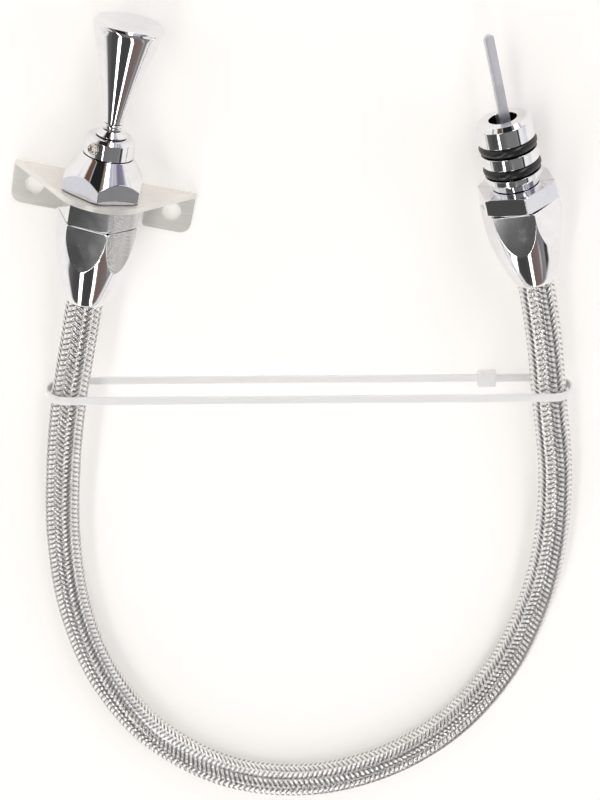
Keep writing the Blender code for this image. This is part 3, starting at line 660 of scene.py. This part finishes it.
def make_nipple(name, bottom, top, spigot, first_corner, place, stands_for):
    """A nipple with its hexagon between two heights; the spigot is (radius, end)."""
    tail = bottom - NIPPLE_TAIL_LENGTH
    thread_end = bottom - NIPPLE_THREAD_LENGTH
    barbs = []
    for step in range(BARBS):
        foot = tail + step * BARB_PITCH
        barbs += [(NIPPLE_TAIL - BARB_DEPTH, foot + 0.001), (NIPPLE_TAIL, foot + BARB_PITCH)]
    profile = [(NIPPLE_BORE, tail), (NIPPLE_TAIL - BARB_DEPTH * 2, tail)] + barbs
    profile += [(NIPPLE_TAIL, thread_end), (NIPPLE_THREAD, thread_end), (NIPPLE_THREAD, bottom),
                (HEX_CORNER - NIPPLE_CHAMFER, bottom),
                (HEX_CORNER + 0.0001, bottom + NIPPLE_CHAMFER_RISE),
                (HEX_CORNER + 0.0001, top - NIPPLE_CHAMFER_RISE), (HEX_CORNER - NIPPLE_CHAMFER, top),
                (spigot[0], top), spigot, (NIPPLE_BORE, spigot[1])]
    shape = turned(profile)
    mill_flats(shape, HEX_CORNER, first_corner, 0.00018)
    fit_plated(name, shape, place, name + "_plate", stands_for)


make_nipple("nipple_upper_hex", UPPER_HEX_BOTTOM, UPPER_HEX_TOP, UPPER_SPIGOT, UPPER_HEX_TURN,
            UPPER_PLACE, "upper_nipple")
make_nipple("nipple_lower_hex", LOWER_HEX_BOTTOM, LOWER_HEX_TOP, LOWER_SPIGOT, LOWER_NIPPLE_TURN,
            LOWER_PLACE, "lower_nipple")

# ---------------------------------------------------------------- bracket
# Blanked from 2 mm stainless sheet with a brushed face and folded once: two ears with a bolt hole
# each, and a shelf with a round nose that the nipple passes through.
SHEET = 0.0020
EAR_END = 0.0338
EAR_FRONT = -0.0084
EAR_CORNER = 0.0042
NOTCH_HALF = 0.0157
NOTCH_DEPTH = 0.0130
NOTCH_CORNER = 0.0015
SHOULDER_CORNER = 0.0006
FOLD_START = 0.0140
FOLD_MIDDLE = (0.0056, 0.0028)
FOLD_RADIUS = 0.0018
FOLD_STEPS = 8
NOSE_RADIUS = 0.0176
NOSE_HEIGHT = 0.0176
SHELF_CORNER = 0.01622
BOLT_X = 0.0259
BOLT_ALONG = 0.0076
BOLT_HOLE = 0.00355
FITTING_HOLE = 0.0093
fold_length = FOLD_RADIUS * pi / 2
nose_along = FOLD_START + fold_length + NOSE_HEIGHT - FOLD_MIDDLE[1]


def arc_points(centre, radius, start, end, steps):
    turns = [start + (end - start) * step / steps for step in range(steps + 1)]
    return [(centre[0] + radius * cos(turn), centre[1] + radius * sin(turn)) for turn in turns]


to_nose = Vector((-EAR_END, nose_along - SHELF_CORNER))
nose_start = atan2(to_nose.y, to_nose.x) - asin(NOSE_RADIUS / to_nose.length) - pi / 2
blank = [(NOTCH_HALF - NOTCH_CORNER, NOTCH_DEPTH)]
blank += arc_points((NOTCH_HALF - NOTCH_CORNER, NOTCH_DEPTH - NOTCH_CORNER), NOTCH_CORNER,
                    pi / 2, 0.0, 4)[1:]
blank += arc_points((NOTCH_HALF + NOTCH_CORNER, NOTCH_CORNER), NOTCH_CORNER, pi, pi * 1.5, 5)
blank += arc_points((EAR_END - EAR_CORNER, EAR_CORNER), EAR_CORNER, -pi / 2, 0.0, 14)
blank += arc_points((EAR_END - SHOULDER_CORNER, SHELF_CORNER - SHOULDER_CORNER / 2),
                    SHOULDER_CORNER, 0.0, nose_start, 3)
blank += arc_points((0.0, nose_along), NOSE_RADIUS, nose_start, pi / 2, 24)
blank += [(-x, along) for x, along in reversed(blank[:-1])]

shape = bmesh.new()
rim = [shape.verts.new((x, along, 0.0)) for x, along in blank]
for here, there in zip(rim, rim[1:] + rim[:1]):
    shape.edges.new((here, there))
for x, along, radius in ((BOLT_X, BOLT_ALONG, BOLT_HOLE), (-BOLT_X, BOLT_ALONG, BOLT_HOLE),
                         (0.0, nose_along, FITTING_HOLE)):
    bmesh.ops.create_circle(shape, cap_ends=False, segments=48, radius=radius,
                            matrix=Matrix.Translation((x, along, 0.0)))
bmesh.ops.triangle_fill(shape, use_beauty=True, use_dissolve=False, edges=shape.edges[:])
for step in range(FOLD_STEPS + 1):
    fold_line = (0, FOLD_START + fold_length * step / FOLD_STEPS, 0)
    bmesh.ops.bisect_plane(shape, geom=shape.verts[:] + shape.edges[:] + shape.faces[:],
                           plane_co=fold_line, plane_no=(0, 1, 0))
for vert in shape.verts:
    along = vert.co.y
    if along <= FOLD_START:
        vert.co = (vert.co.x, EAR_FRONT + along, SHEET / 2)
    elif along >= FOLD_START + fold_length:
        vert.co = (vert.co.x, FOLD_MIDDLE[0] + FOLD_RADIUS,
                   FOLD_MIDDLE[1] + along - FOLD_START - fold_length)
    else:
        bend = (along - FOLD_START) / FOLD_RADIUS
        vert.co = (vert.co.x, FOLD_MIDDLE[0] + FOLD_RADIUS * sin(bend),
                   FOLD_MIDDLE[1] - FOLD_RADIUS * cos(bend))


def brushed_group():
    """Lines left by a belt along X, with slow patches where it was pressed harder."""
    group, entry, leave = new_group("belt_brushing", {"Length": 40.0, "Width": 2600.0},
                                    ("Tone", "Roughness", "Height"))
    where = place_on(group)
    stretch = group.nodes.new("ShaderNodeCombineXYZ")
    group.links.new(entry.outputs["Length"], stretch.inputs[0])
    group.links.new(entry.outputs["Width"], stretch.inputs[1])
    group.links.new(entry.outputs["Width"], stretch.inputs[2])
    drawn = group.nodes.new("ShaderNodeVectorMath")
    drawn.operation = "MULTIPLY"
    group.links.new(where, drawn.inputs[0])
    group.links.new(stretch.outputs[0], drawn.inputs[1])
    lines = mottle(group, drawn.outputs[0], 1.0, 4.0)
    patch = mottle(group, where, 70.0, 3.0)
    tone = math_node(group, "MULTIPLY_ADD", lines, 0.22, 0.87)
    patchy = math_node(group, "MULTIPLY_ADD", patch, 0.20, 0.90)
    tone = math_node(group, "MULTIPLY", tone, patchy)
    rough = math_node(group, "MULTIPLY_ADD", patch, 0.18, -0.09)
    rough = math_node(group, "MULTIPLY_ADD", lines, 0.04, rough)
    group.links.new(tone, leave.inputs["Tone"])
    group.links.new(rough, leave.inputs["Roughness"])
    group.links.new(lines, leave.inputs["Height"])
    return group


sheet_steel, tree, shader = new_material("brushed_sheet", 0.36, 0.62)
belt = place_group(tree, brushed_group())
finish(tree, shader, (0.88, 0.855, 0.815), belt, 0.36)
add_bumps(tree, shader, 0.02, 0.00005, belt.outputs["Height"])
bracket_sheet = fit_piece("bracket_sheet", shape, Matrix.Identity(4), sheet_steel, "bracket",
                          "bracket", even=False)
wall = bracket_sheet.modifiers.new("thickness", "SOLIDIFY")
wall.thickness = SHEET - 0.00002
wall.offset = 0.0
edge_ease = bracket_sheet.modifiers.new("deburred_edge", "BEVEL")
edge_ease.width = 0.00028
edge_ease.segments = 2
edge_ease.limit_method = "ANGLE"
edge_ease.angle_limit = radians(50)
bracket_sheet.modifiers.new("even_shading", "WEIGHTED_NORMAL").keep_sharp = False

# ---------------------------------------------------------------- cone nut and collar
# The nut clamps the bracket to the nipple: a hexagon with its top turned to a cone. The collar
# sits on it and guides the handle. Both are turned, polished and plated.
NUT_CORNER = 0.0160
NUT_TURN = radians(-2.0)
NUT_BOTTOM = 0.0087
NUT_CONE_FOOT = 0.0129
NUT_TOP = 0.0224
NUT_CONE_TOP = 0.0093
NUT_THREAD = 0.0093
NUT_THREAD_TOP = 0.0140
NUT_BORE = 0.0056
COLLAR_SPIGOT = 0.0053
COLLAR_SPIGOT_BOTTOM = 0.0165
COLLAR_BOTTOM = 0.0227
COLLAR_TOP = 0.0296
COLLAR_CHAMFER = 0.0012
COLLAR_RADIUS = 0.0091
COLLAR_BORE = 0.0039
nut_profile = [(NUT_THREAD, NUT_BOTTOM + 0.0004), (NUT_THREAD + 0.0004, NUT_BOTTOM),
               (NUT_CORNER - 0.0010, NUT_BOTTOM), (NUT_CORNER + 0.0002, NUT_BOTTOM + 0.0007),
               (NUT_CORNER + 0.0002, NUT_CONE_FOOT), (NUT_CONE_TOP + 0.0004, NUT_TOP - 0.0004),
               (NUT_CONE_TOP, NUT_TOP), (NUT_BORE, NUT_TOP), (NUT_BORE, NUT_THREAD_TOP),
               (NUT_THREAD, NUT_THREAD_TOP)]
shape = turned(nut_profile)
mill_flats(shape, NUT_CORNER, NUT_TURN, 0.00018)
fit_plated("nut_with_cone", shape, UPPER_PLACE, "nut_plate", "cone_nut")
collar_profile = [(COLLAR_BORE, COLLAR_SPIGOT_BOTTOM), (COLLAR_SPIGOT, COLLAR_SPIGOT_BOTTOM),
                  (COLLAR_SPIGOT, COLLAR_BOTTOM), (COLLAR_RADIUS, COLLAR_BOTTOM),
                  (COLLAR_RADIUS, COLLAR_TOP - COLLAR_CHAMFER),
                  (COLLAR_RADIUS - COLLAR_CHAMFER, COLLAR_TOP), (COLLAR_BORE, COLLAR_TOP)]
fit_plated("collar_ring", turned(eased(collar_profile, 0.00018, True)), UPPER_PLACE, "collar_plate",
           "top_collar")

# ---------------------------------------------------------------- lock screw
# Small brass socket screw through the side of the collar; it stops the handle working loose. Its
# thread shows where it stands out, round a hexagon recess for a key.
SCREW_TURN = radians(-34.0)
SCREW_HEIGHT = (COLLAR_BOTTOM + COLLAR_TOP) / 2 - 0.0002
SCREW_RADIUS = 0.0021
SCREW_TIP = 0.00385
SCREW_END = 0.01015
SCREW_PITCH = 0.0005
SCREW_TURNS = 10
SCREW_GROOVE = 0.00026
KEY_APOTHEM = 0.00110
KEY_DEPTH = 0.0024
screw_place = (UPPER_PLACE @ Matrix.Translation((0, SCREW_HEIGHT, 0))
               @ Euler((pi / 2, SCREW_TURN, 0)).to_matrix().to_4x4())
thread = []
for step in range(SCREW_TURNS):
    foot = SCREW_TIP + 0.0008 + step * SCREW_PITCH
    thread += [(SCREW_RADIUS - SCREW_GROOVE, foot), (SCREW_RADIUS, foot + SCREW_PITCH * 0.42),
               (SCREW_RADIUS, foot + SCREW_PITCH * 0.58)]
key_floor = SCREW_END - KEY_DEPTH
screw_profile = [(0.0, SCREW_TIP), (SCREW_RADIUS - 0.0007, SCREW_TIP)] + thread
screw_profile += [(SCREW_RADIUS - 0.0003, SCREW_END), (KEY_APOTHEM + 0.00025, SCREW_END),
                  (KEY_APOTHEM, SCREW_END - 0.0002), (KEY_APOTHEM, key_floor),
                  (0.0, key_floor - 0.0005)]
shape = turned(screw_profile, 48)
for vert in shape.verts:
    from_axis = Vector((vert.co.x, vert.co.z)).length
    if vert.co.y > key_floor - 0.0001 and from_axis < KEY_APOTHEM + 0.00005:
        around = (atan2(vert.co.x, vert.co.z) + pi / 6) % (pi / 3) - pi / 6
        vert.co.x /= cos(around)
        vert.co.z /= cos(around)
brass, tree, shader = new_material("screw_brass", 0.22, 1.0)
grain = place_group(tree, TARNISH, Scale=900.0, Tone=0.5, Gloss=0.4)
finish(tree, shader, (0.70, 0.66, 0.56), grain, 0.22)
fit_piece("screw_brass_socket", shape, screw_place, brass, "lock_screw",
          "lock_screw", 50.0)

# ---------------------------------------------------------------- handle
# Skirt, bead ring and grip are three polished pieces clamped on the stem's stud. The grip is a
# long cone with a flat end, turned on a lathe and plated.
GRIP_BOTTOM = 0.0348
GRIP_TOP = 0.0715
GRIP_RADIUS = 0.0129
GRIP_NECK = 0.00355
GRIP_FLARE = 1.12
GRIP_FLARE_SHARE = 0.94
GRIP_STUD_DEPTH = 0.0125
FLARE_STEPS = 24
SKIRT_BOTTOM = 0.0299
SKIRT_TOP = 0.0320
SKIRT_FOOT = 0.0056
SKIRT_NECK = 0.0037
RING_BOTTOM = 0.0323
RING_TOP = 0.0345
RING_RADIUS = 0.0040
RING_ROUND = 0.00115
STUD_HOLE = 0.0022
skirt_profile = [(STUD_HOLE, SKIRT_BOTTOM), (SKIRT_FOOT, SKIRT_BOTTOM),
                 (SKIRT_FOOT, SKIRT_BOTTOM + 0.0003), (SKIRT_NECK, SKIRT_TOP), (STUD_HOLE, SKIRT_TOP)]
fit_plated("handle_skirt", turned(eased(skirt_profile, 0.00015, True), 72), UPPER_PLACE,
           "skirt_plate", "grip_skirt", "handle")
bead = arc_points((RING_RADIUS - RING_ROUND, (RING_BOTTOM + RING_TOP) / 2), RING_ROUND,
                  -pi / 2, pi / 2, 12)
ring_profile = [(STUD_HOLE, RING_BOTTOM)] + bead + [(STUD_HOLE, RING_TOP)]
fit_plated("handle_bead", turned(ring_profile, 72), UPPER_PLACE, "bead_plate", "grip_ring", "handle")
flare_length = (GRIP_TOP - GRIP_BOTTOM) * GRIP_FLARE_SHARE
grip_profile = [(0.0, GRIP_BOTTOM + GRIP_STUD_DEPTH), (STUD_HOLE, GRIP_BOTTOM + GRIP_STUD_DEPTH),
                (STUD_HOLE, GRIP_BOTTOM)]
for step in range(FLARE_STEPS + 1):
    part = step / FLARE_STEPS
    grip_profile.append((GRIP_NECK + (GRIP_RADIUS - GRIP_NECK) * part ** GRIP_FLARE,
                         GRIP_BOTTOM + flare_length * part))
grip_profile += [(GRIP_RADIUS - 0.00005, GRIP_TOP - 0.0016), (GRIP_RADIUS - 0.00025, GRIP_TOP - 0.0011),
                 (GRIP_RADIUS - 0.0006, GRIP_TOP - 0.0006), (GRIP_RADIUS - 0.0011, GRIP_TOP - 0.0002),
                 (GRIP_RADIUS - 0.0017, GRIP_TOP), (0.0, GRIP_TOP)]
fit_plated("handle_grip", turned(grip_profile), UPPER_PLACE, "grip_plate", "grip", "handle", 0.2, 30.0)

# ---------------------------------------------------------------- stem and cable head
# Ground steel stem that slides in the collar, with a small rubber ring, and the stranded cable
# that is crimped under it in a ferrule. They show when the handle is pulled.
STEM_RADIUS = 0.0034
STEM_BOTTOM = 0.0140
STEM_TOP = 0.0296
STEM_BORE = 0.0017
STEM_BORE_TOP = 0.0275
STEM_GROOVE = (0.0186, 0.0201)
STEM_GROOVE_FLOOR = 0.0026
STUD_RADIUS = 0.0019
STUD_TOP = GRIP_BOTTOM + 0.0115
VENT_RADIUS = 0.0008
VENT_BOTTOM = 0.0285
CABLE_RADIUS = 0.0014
CABLE_STEP = 0.0008
CABLE_TWIST = radians(26)
LOBE_DEPTH = 0.13
stem_profile = [(STEM_BORE, STEM_BORE_TOP), (STEM_BORE, STEM_BOTTOM), (STEM_RADIUS, STEM_BOTTOM),
                (STEM_RADIUS, STEM_GROOVE[0]), (STEM_GROOVE_FLOOR, STEM_GROOVE[0]),
                (STEM_GROOVE_FLOOR, STEM_GROOVE[1]), (STEM_RADIUS, STEM_GROOVE[1]),
                (STEM_RADIUS, STEM_TOP), (STUD_RADIUS, STEM_TOP), (STUD_RADIUS, STUD_TOP),
                (VENT_RADIUS, STUD_TOP), (VENT_RADIUS, VENT_BOTTOM)]


def turned_steel(name, tone, roughness, scale):
    """Plain steel off the lathe, with slow tarnish and a few fine specks."""
    material, tree, shader = new_material(name, roughness, 1.0)
    grain = place_group(tree, TARNISH, Scale=scale, Tone=0.35, Gloss=0.25)
    finish(tree, shader, tone, grain, roughness)
    return material


def seal_rubber(name):
    """Black moulded rubber with a film of oil and a little dust."""
    material, tree, shader = new_material(name, 0.30)
    grain = place_group(tree, TARNISH, Scale=260.0, Tone=0.9, Gloss=0.35)
    finish(tree, shader, (0.011, 0.011, 0.013), grain, 0.30)
    add_bumps(tree, shader, 0.25, 0.00005, mottle(tree, place_on(tree), 2400.0, 2.0))
    return material


def twisted_cable(low, high, radius):
    """A stranded cable along Y: six lobes round a core, twisted as they run."""
    shape = bmesh.new()
    bmesh.ops.create_circle(shape, cap_ends=True, segments=36, radius=radius,
                            matrix=Matrix.Rotation(-pi / 2, 4, "X"))
    for vert in shape.verts:
        lobe = 1.0 - LOBE_DEPTH * (1.0 - abs(sin(3.0 * atan2(vert.co.x, vert.co.z))))
        vert.co = Vector((vert.co.x * lobe, low, vert.co.z * lobe))
    face = shape.faces[:][0]
    steps = round((high - low) / CABLE_STEP)
    for step in range(steps):
        grown = bmesh.ops.extrude_face_region(shape, geom=[face])
        face = [part for part in grown["geom"] if isinstance(part, bmesh.types.BMFace)][0]
        bmesh.ops.translate(shape, verts=face.verts[:], vec=(0, (high - low) / steps, 0))
        bmesh.ops.rotate(shape, verts=face.verts[:], cent=(0, 0, 0),
                         matrix=Matrix.Rotation(CABLE_TWIST, 3, "Y"))
    return shape


fit_piece("stem_rod", turned(eased(stem_profile, 0.00015, True), 72), UPPER_PLACE,
          turned_steel("stem_steel", (0.72, 0.72, 0.73), 0.18, 200.0), "handle", "stem")
ring_line = arc_points((0.0032, sum(STEM_GROOVE) / 2), 0.0005, 0.0, tau * 15 / 16, 15)
fit_piece("stem_seal_ring", turned(ring_line, 64), UPPER_PLACE, seal_rubber("stem_rubber"), "handle",
          "stem_o_ring", 60.0)
crimp = eased([(STEM_BORE, 0.0080), (0.0026, 0.0080), (0.0026, 0.0098), (0.0023, 0.0102),
               (0.0023, 0.0116), (0.0026, 0.0120), (0.0026, 0.0137), (STEM_BORE, 0.0137)], 0.0002, True)
fit_piece("crimp_sleeve", turned(crimp, 64), UPPER_PLACE,
          turned_steel("crimp_steel", (0.62, 0.61, 0.60), 0.30, 300.0), "handle",
          "cable_ferrule")
fit_piece("cable_upper_end", twisted_cable(-0.0552, 0.0270, CABLE_RADIUS), UPPER_PLACE,
          turned_steel("cable_wire", (0.60, 0.60, 0.60), 0.32, 500.0), "handle",
          "cable_head", 70.0)
core_wire = turned_steel("cable_core_wire", (0.58, 0.58, 0.58), 0.34, 500.0)
NODES["core_cable"].data.materials.clear()
NODES["core_cable"].data.materials.append(core_wire)

# ---------------------------------------------------------------- plug
# Sealing plug for the tube on the engine: turned alloy with two grooves, polished and plated,
# and two black rubber rings. The blade leaves through its bore.
PLUG_BOTTOM = 0.0399
PLUG_END = 0.0654
PLUG_RADIUS = 0.01035
PLUG_NECK = 0.0087
PLUG_NECK_TOP = 0.0022
PLUG_BORE = 0.00515
PLUG_RECESS = 0.0066
PLUG_RECESS_DEPTH = 0.0040
PLUG_CHAMFER = 0.0015
SEAL_SECTION = 0.0019
SEAL_OUTER = 0.01065
GROOVES = (0.0471, 0.0556)
GROOVE_HALF = 0.0021
GROOVE_FLOOR = 0.0066
plug_profile = [(PLUG_RECESS, PLUG_BOTTOM), (PLUG_NECK, PLUG_BOTTOM),
                (PLUG_NECK, PLUG_BOTTOM + PLUG_NECK_TOP), (PLUG_RADIUS, PLUG_BOTTOM + 0.0030)]
for centre in GROOVES:
    plug_profile += [(PLUG_RADIUS, centre - GROOVE_HALF), (GROOVE_FLOOR, centre - GROOVE_HALF),
                     (GROOVE_FLOOR, centre + GROOVE_HALF), (PLUG_RADIUS, centre + GROOVE_HALF)]
plug_profile += [(PLUG_RADIUS, PLUG_END - PLUG_CHAMFER), (PLUG_RADIUS - PLUG_CHAMFER, PLUG_END),
                 (PLUG_BORE, PLUG_END), (PLUG_BORE, PLUG_BOTTOM + PLUG_RECESS_DEPTH),
                 (PLUG_RECESS, PLUG_BOTTOM + PLUG_RECESS_DEPTH)]
fit_plated("plug_turned", turned(eased(plug_profile, 0.00015, True)), LOWER_PLACE, "plug_plate",
           "plug_body")
for name, centre in zip(("plug_o_ring_inner", "plug_o_ring_outer"), GROOVES):
    section = arc_points((SEAL_OUTER - SEAL_SECTION, centre), SEAL_SECTION, 0.0, tau * 23 / 24, 23)
    fit_piece(name + "_rubber", turned(section, 96), LOWER_PLACE, seal_rubber(name + "_compound"),
              "housing", name, 60.0)

# ---------------------------------------------------------------- blade
# Flat steel blade with a round tip, crimped to the cable's end in a ferrule. A hatched patch near
# its root marks the level.
BLADE_WIDTH = 0.0037
BLADE_THICKNESS = 0.0020
BLADE_ROOT = 0.0573
BLADE_TIP = 0.0967
BLADE_PLACE = LOWER_PLACE @ Matrix.Translation((0.0007, 0, 0))
BLADE_ROLL = Matrix.Rotation(radians(27.0), 4, "Y")
HATCH_LINES = 9000.0


def block(width, length, height):
    shape = bmesh.new()
    bmesh.ops.create_cube(shape, size=1.0)
    bmesh.ops.scale(shape, verts=shape.verts[:], vec=(width, length, height))
    return shape


shape = block(BLADE_WIDTH, BLADE_TIP - BLADE_ROOT, BLADE_THICKNESS)
bmesh.ops.translate(shape, verts=shape.verts[:], vec=(0, (BLADE_TIP + BLADE_ROOT) / 2, 0))
tip_edges = [edge for edge in shape.edges
             if all(vert.co.y > BLADE_TIP - 0.001 for vert in edge.verts)
             and abs(edge.verts[0].co.z - edge.verts[1].co.z) > 0.001]
ease_corners(shape, tip_edges, BLADE_WIDTH * 0.49, 10)
long_edges = [edge for edge in shape.edges if edge.calc_face_angle() > radians(40)]
ease_corners(shape, long_edges, 0.00045, 3)
blade_steel, tree, shader = new_material("blade_satin", 0.34, 0.85)
where = place_on(tree)
along_blade = math_node(tree, "SUBTRACT", dot_node(tree, where, LOWER_WAY), LOWER_MOUTH.dot(LOWER_WAY))
patch = ramp_node(tree, math_node(tree, "MULTIPLY", along_blade, 10.0),
                  [(0.655, 0.0), (0.665, 1.0), (0.775, 1.0), (0.785, 0.0)])
slants = [dot_node(tree, where, slant) for slant in ((0.7, 0.7, 0.0), (-0.7, 0.7, 0.0))]
hatches = [math_node(tree, "SINE", math_node(tree, "MULTIPLY", slant, HATCH_LINES)) for slant in slants]
hatch = math_node(tree, "MULTIPLY", math_node(tree, "MAXIMUM", *hatches), patch)
grain = place_group(tree, TARNISH, Scale=350.0, Tone=0.30, Gloss=0.30)
mark = math_node(tree, "MULTIPLY_ADD", hatch, -0.18, 1.0)
marked = mix_colours(tree, "MULTIPLY", 1.0, grain.outputs["Tone"], mark)
finish(tree, shader, (0.66, 0.67, 0.72), grain, 0.36, marked)
add_bumps(tree, shader, 0.4, 0.00006, hatch)
fit_piece("blade_strip", shape, BLADE_PLACE @ BLADE_ROLL, blade_steel, "blade",
          "blade", 50.0)
sleeve = eased([(0.0017, 0.0520), (0.0021, 0.0520), (0.0021, 0.0570), (0.0017, 0.0570)], 0.00012, True)
fit_piece("blade_sleeve", turned(sleeve, 48), BLADE_PLACE,
          turned_steel("blade_sleeve_steel", (0.6, 0.6, 0.6), 0.3, 300.0), "blade",
          "blade_ferrule")
fit_piece("cable_lower_end", twisted_cable(0.0400, 0.0570, CABLE_RADIUS), BLADE_PLACE,
          turned_steel("cable_tail_wire", (0.60, 0.60, 0.60), 0.32, 500.0), "blade",
          "cable_tail", 70.0)

# ---------------------------------------------------------------- tie
# A clear nylon tie keeps the two legs of the hose together for packing: one moulded strap round
# both, its end locked in a small square head.
TIE_LEFT = Vector((-0.0001, -0.0755, 0.0155))
TIE_RIGHT = Vector((0.1810, -0.0396, 0.0105))
TIE_WIDTH = 0.0032
TIE_THICKNESS = 0.0012
TIE_LOOP = 0.0082
TIE_HEAD_PLACE = 0.875
TIE_HEAD_RISE = 0.0007
tie_along = (TIE_RIGHT - TIE_LEFT).normalized()
tie_across = tie_along.cross(Vector((0, 0, 1))).normalized()
tie_up = tie_across.cross(tie_along).normalized()
tie_span = (TIE_RIGHT - TIE_LEFT).length
TIE_PLACE = Matrix.Translation(TIE_LEFT) @ Matrix((tie_along, tie_across, tie_up)).transposed().to_4x4()
shape = bmesh.new()
bmesh.ops.create_grid(shape, x_segments=1, y_segments=1, size=0.5)
bmesh.ops.scale(shape, verts=shape.verts[:], vec=(TIE_THICKNESS, TIE_WIDTH, 1.0))
bmesh.ops.rotate(shape, verts=shape.verts[:], cent=(0, 0, 0), matrix=Matrix.Rotation(pi / 2, 3, "Y"))
ease_corners(shape, shape.verts[:], 0.00035, 3, "VERTICES")
bmesh.ops.translate(shape, verts=shape.verts[:], vec=(0, 0, TIE_LOOP + TIE_THICKNESS / 2))
bmesh.ops.delete(shape, geom=shape.faces[:], context="FACES_ONLY")
ring = shape.edges[:]
for run, turn_centre in ((tie_span, tie_span), (-tie_span, 0.0)):
    grown = bmesh.ops.extrude_edge_only(shape, edges=ring)
    ring = [part for part in grown["geom"] if isinstance(part, bmesh.types.BMEdge)]
    corners = list({vert for edge in ring for vert in edge.verts})
    bmesh.ops.translate(shape, verts=corners, vec=(run, 0, 0))
    grown = bmesh.ops.spin(shape, geom=ring + corners, cent=(turn_centre, 0, 0), axis=(0, 1, 0),
                           angle=pi, steps=24)
    ring = [part for part in grown["geom_last"] if isinstance(part, bmesh.types.BMEdge)]
bmesh.ops.remove_doubles(shape, verts=shape.verts[:], dist=1e-6)


def clear_nylon(name):
    """Natural nylon: milky, with flow marks from the mould."""
    material, tree, shader = new_material(name, 0.32)
    flow = mottle(tree, place_on(tree), 130.0, 2.0)
    tree.links.new(ramp_node(tree, flow, [(0.3, (0.975, 0.975, 0.97)), (0.7, (0.995, 0.995, 0.99))]),
                   shader.inputs["Base Color"])
    tree.links.new(math_node(tree, "MULTIPLY_ADD", flow, 0.16, 0.26), shader.inputs["Roughness"])
    shader.inputs["IOR"].default_value = 1.45
    shader.inputs["Subsurface Weight"].default_value = 0.9
    shader.inputs["Subsurface Radius"].default_value = (0.004, 0.004, 0.004)
    return material


fit_piece("tie_band", shape, TIE_PLACE, clear_nylon("tie_nylon_band"), "housing",
          "tie_strap", 60.0)
shape = block(0.0073, 0.0066, 0.0042)
ease_corners(shape, shape.edges[:], 0.0009, 4)
head_place = (tie_span * TIE_HEAD_PLACE, 0, TIE_HEAD_RISE - TIE_LOOP - TIE_THICKNESS / 2)
bmesh.ops.translate(shape, verts=shape.verts[:], vec=head_place)
fit_piece("tie_lock_head", shape, TIE_PLACE, clear_nylon("tie_nylon_head"), "housing",
          "tie_head", 60.0)
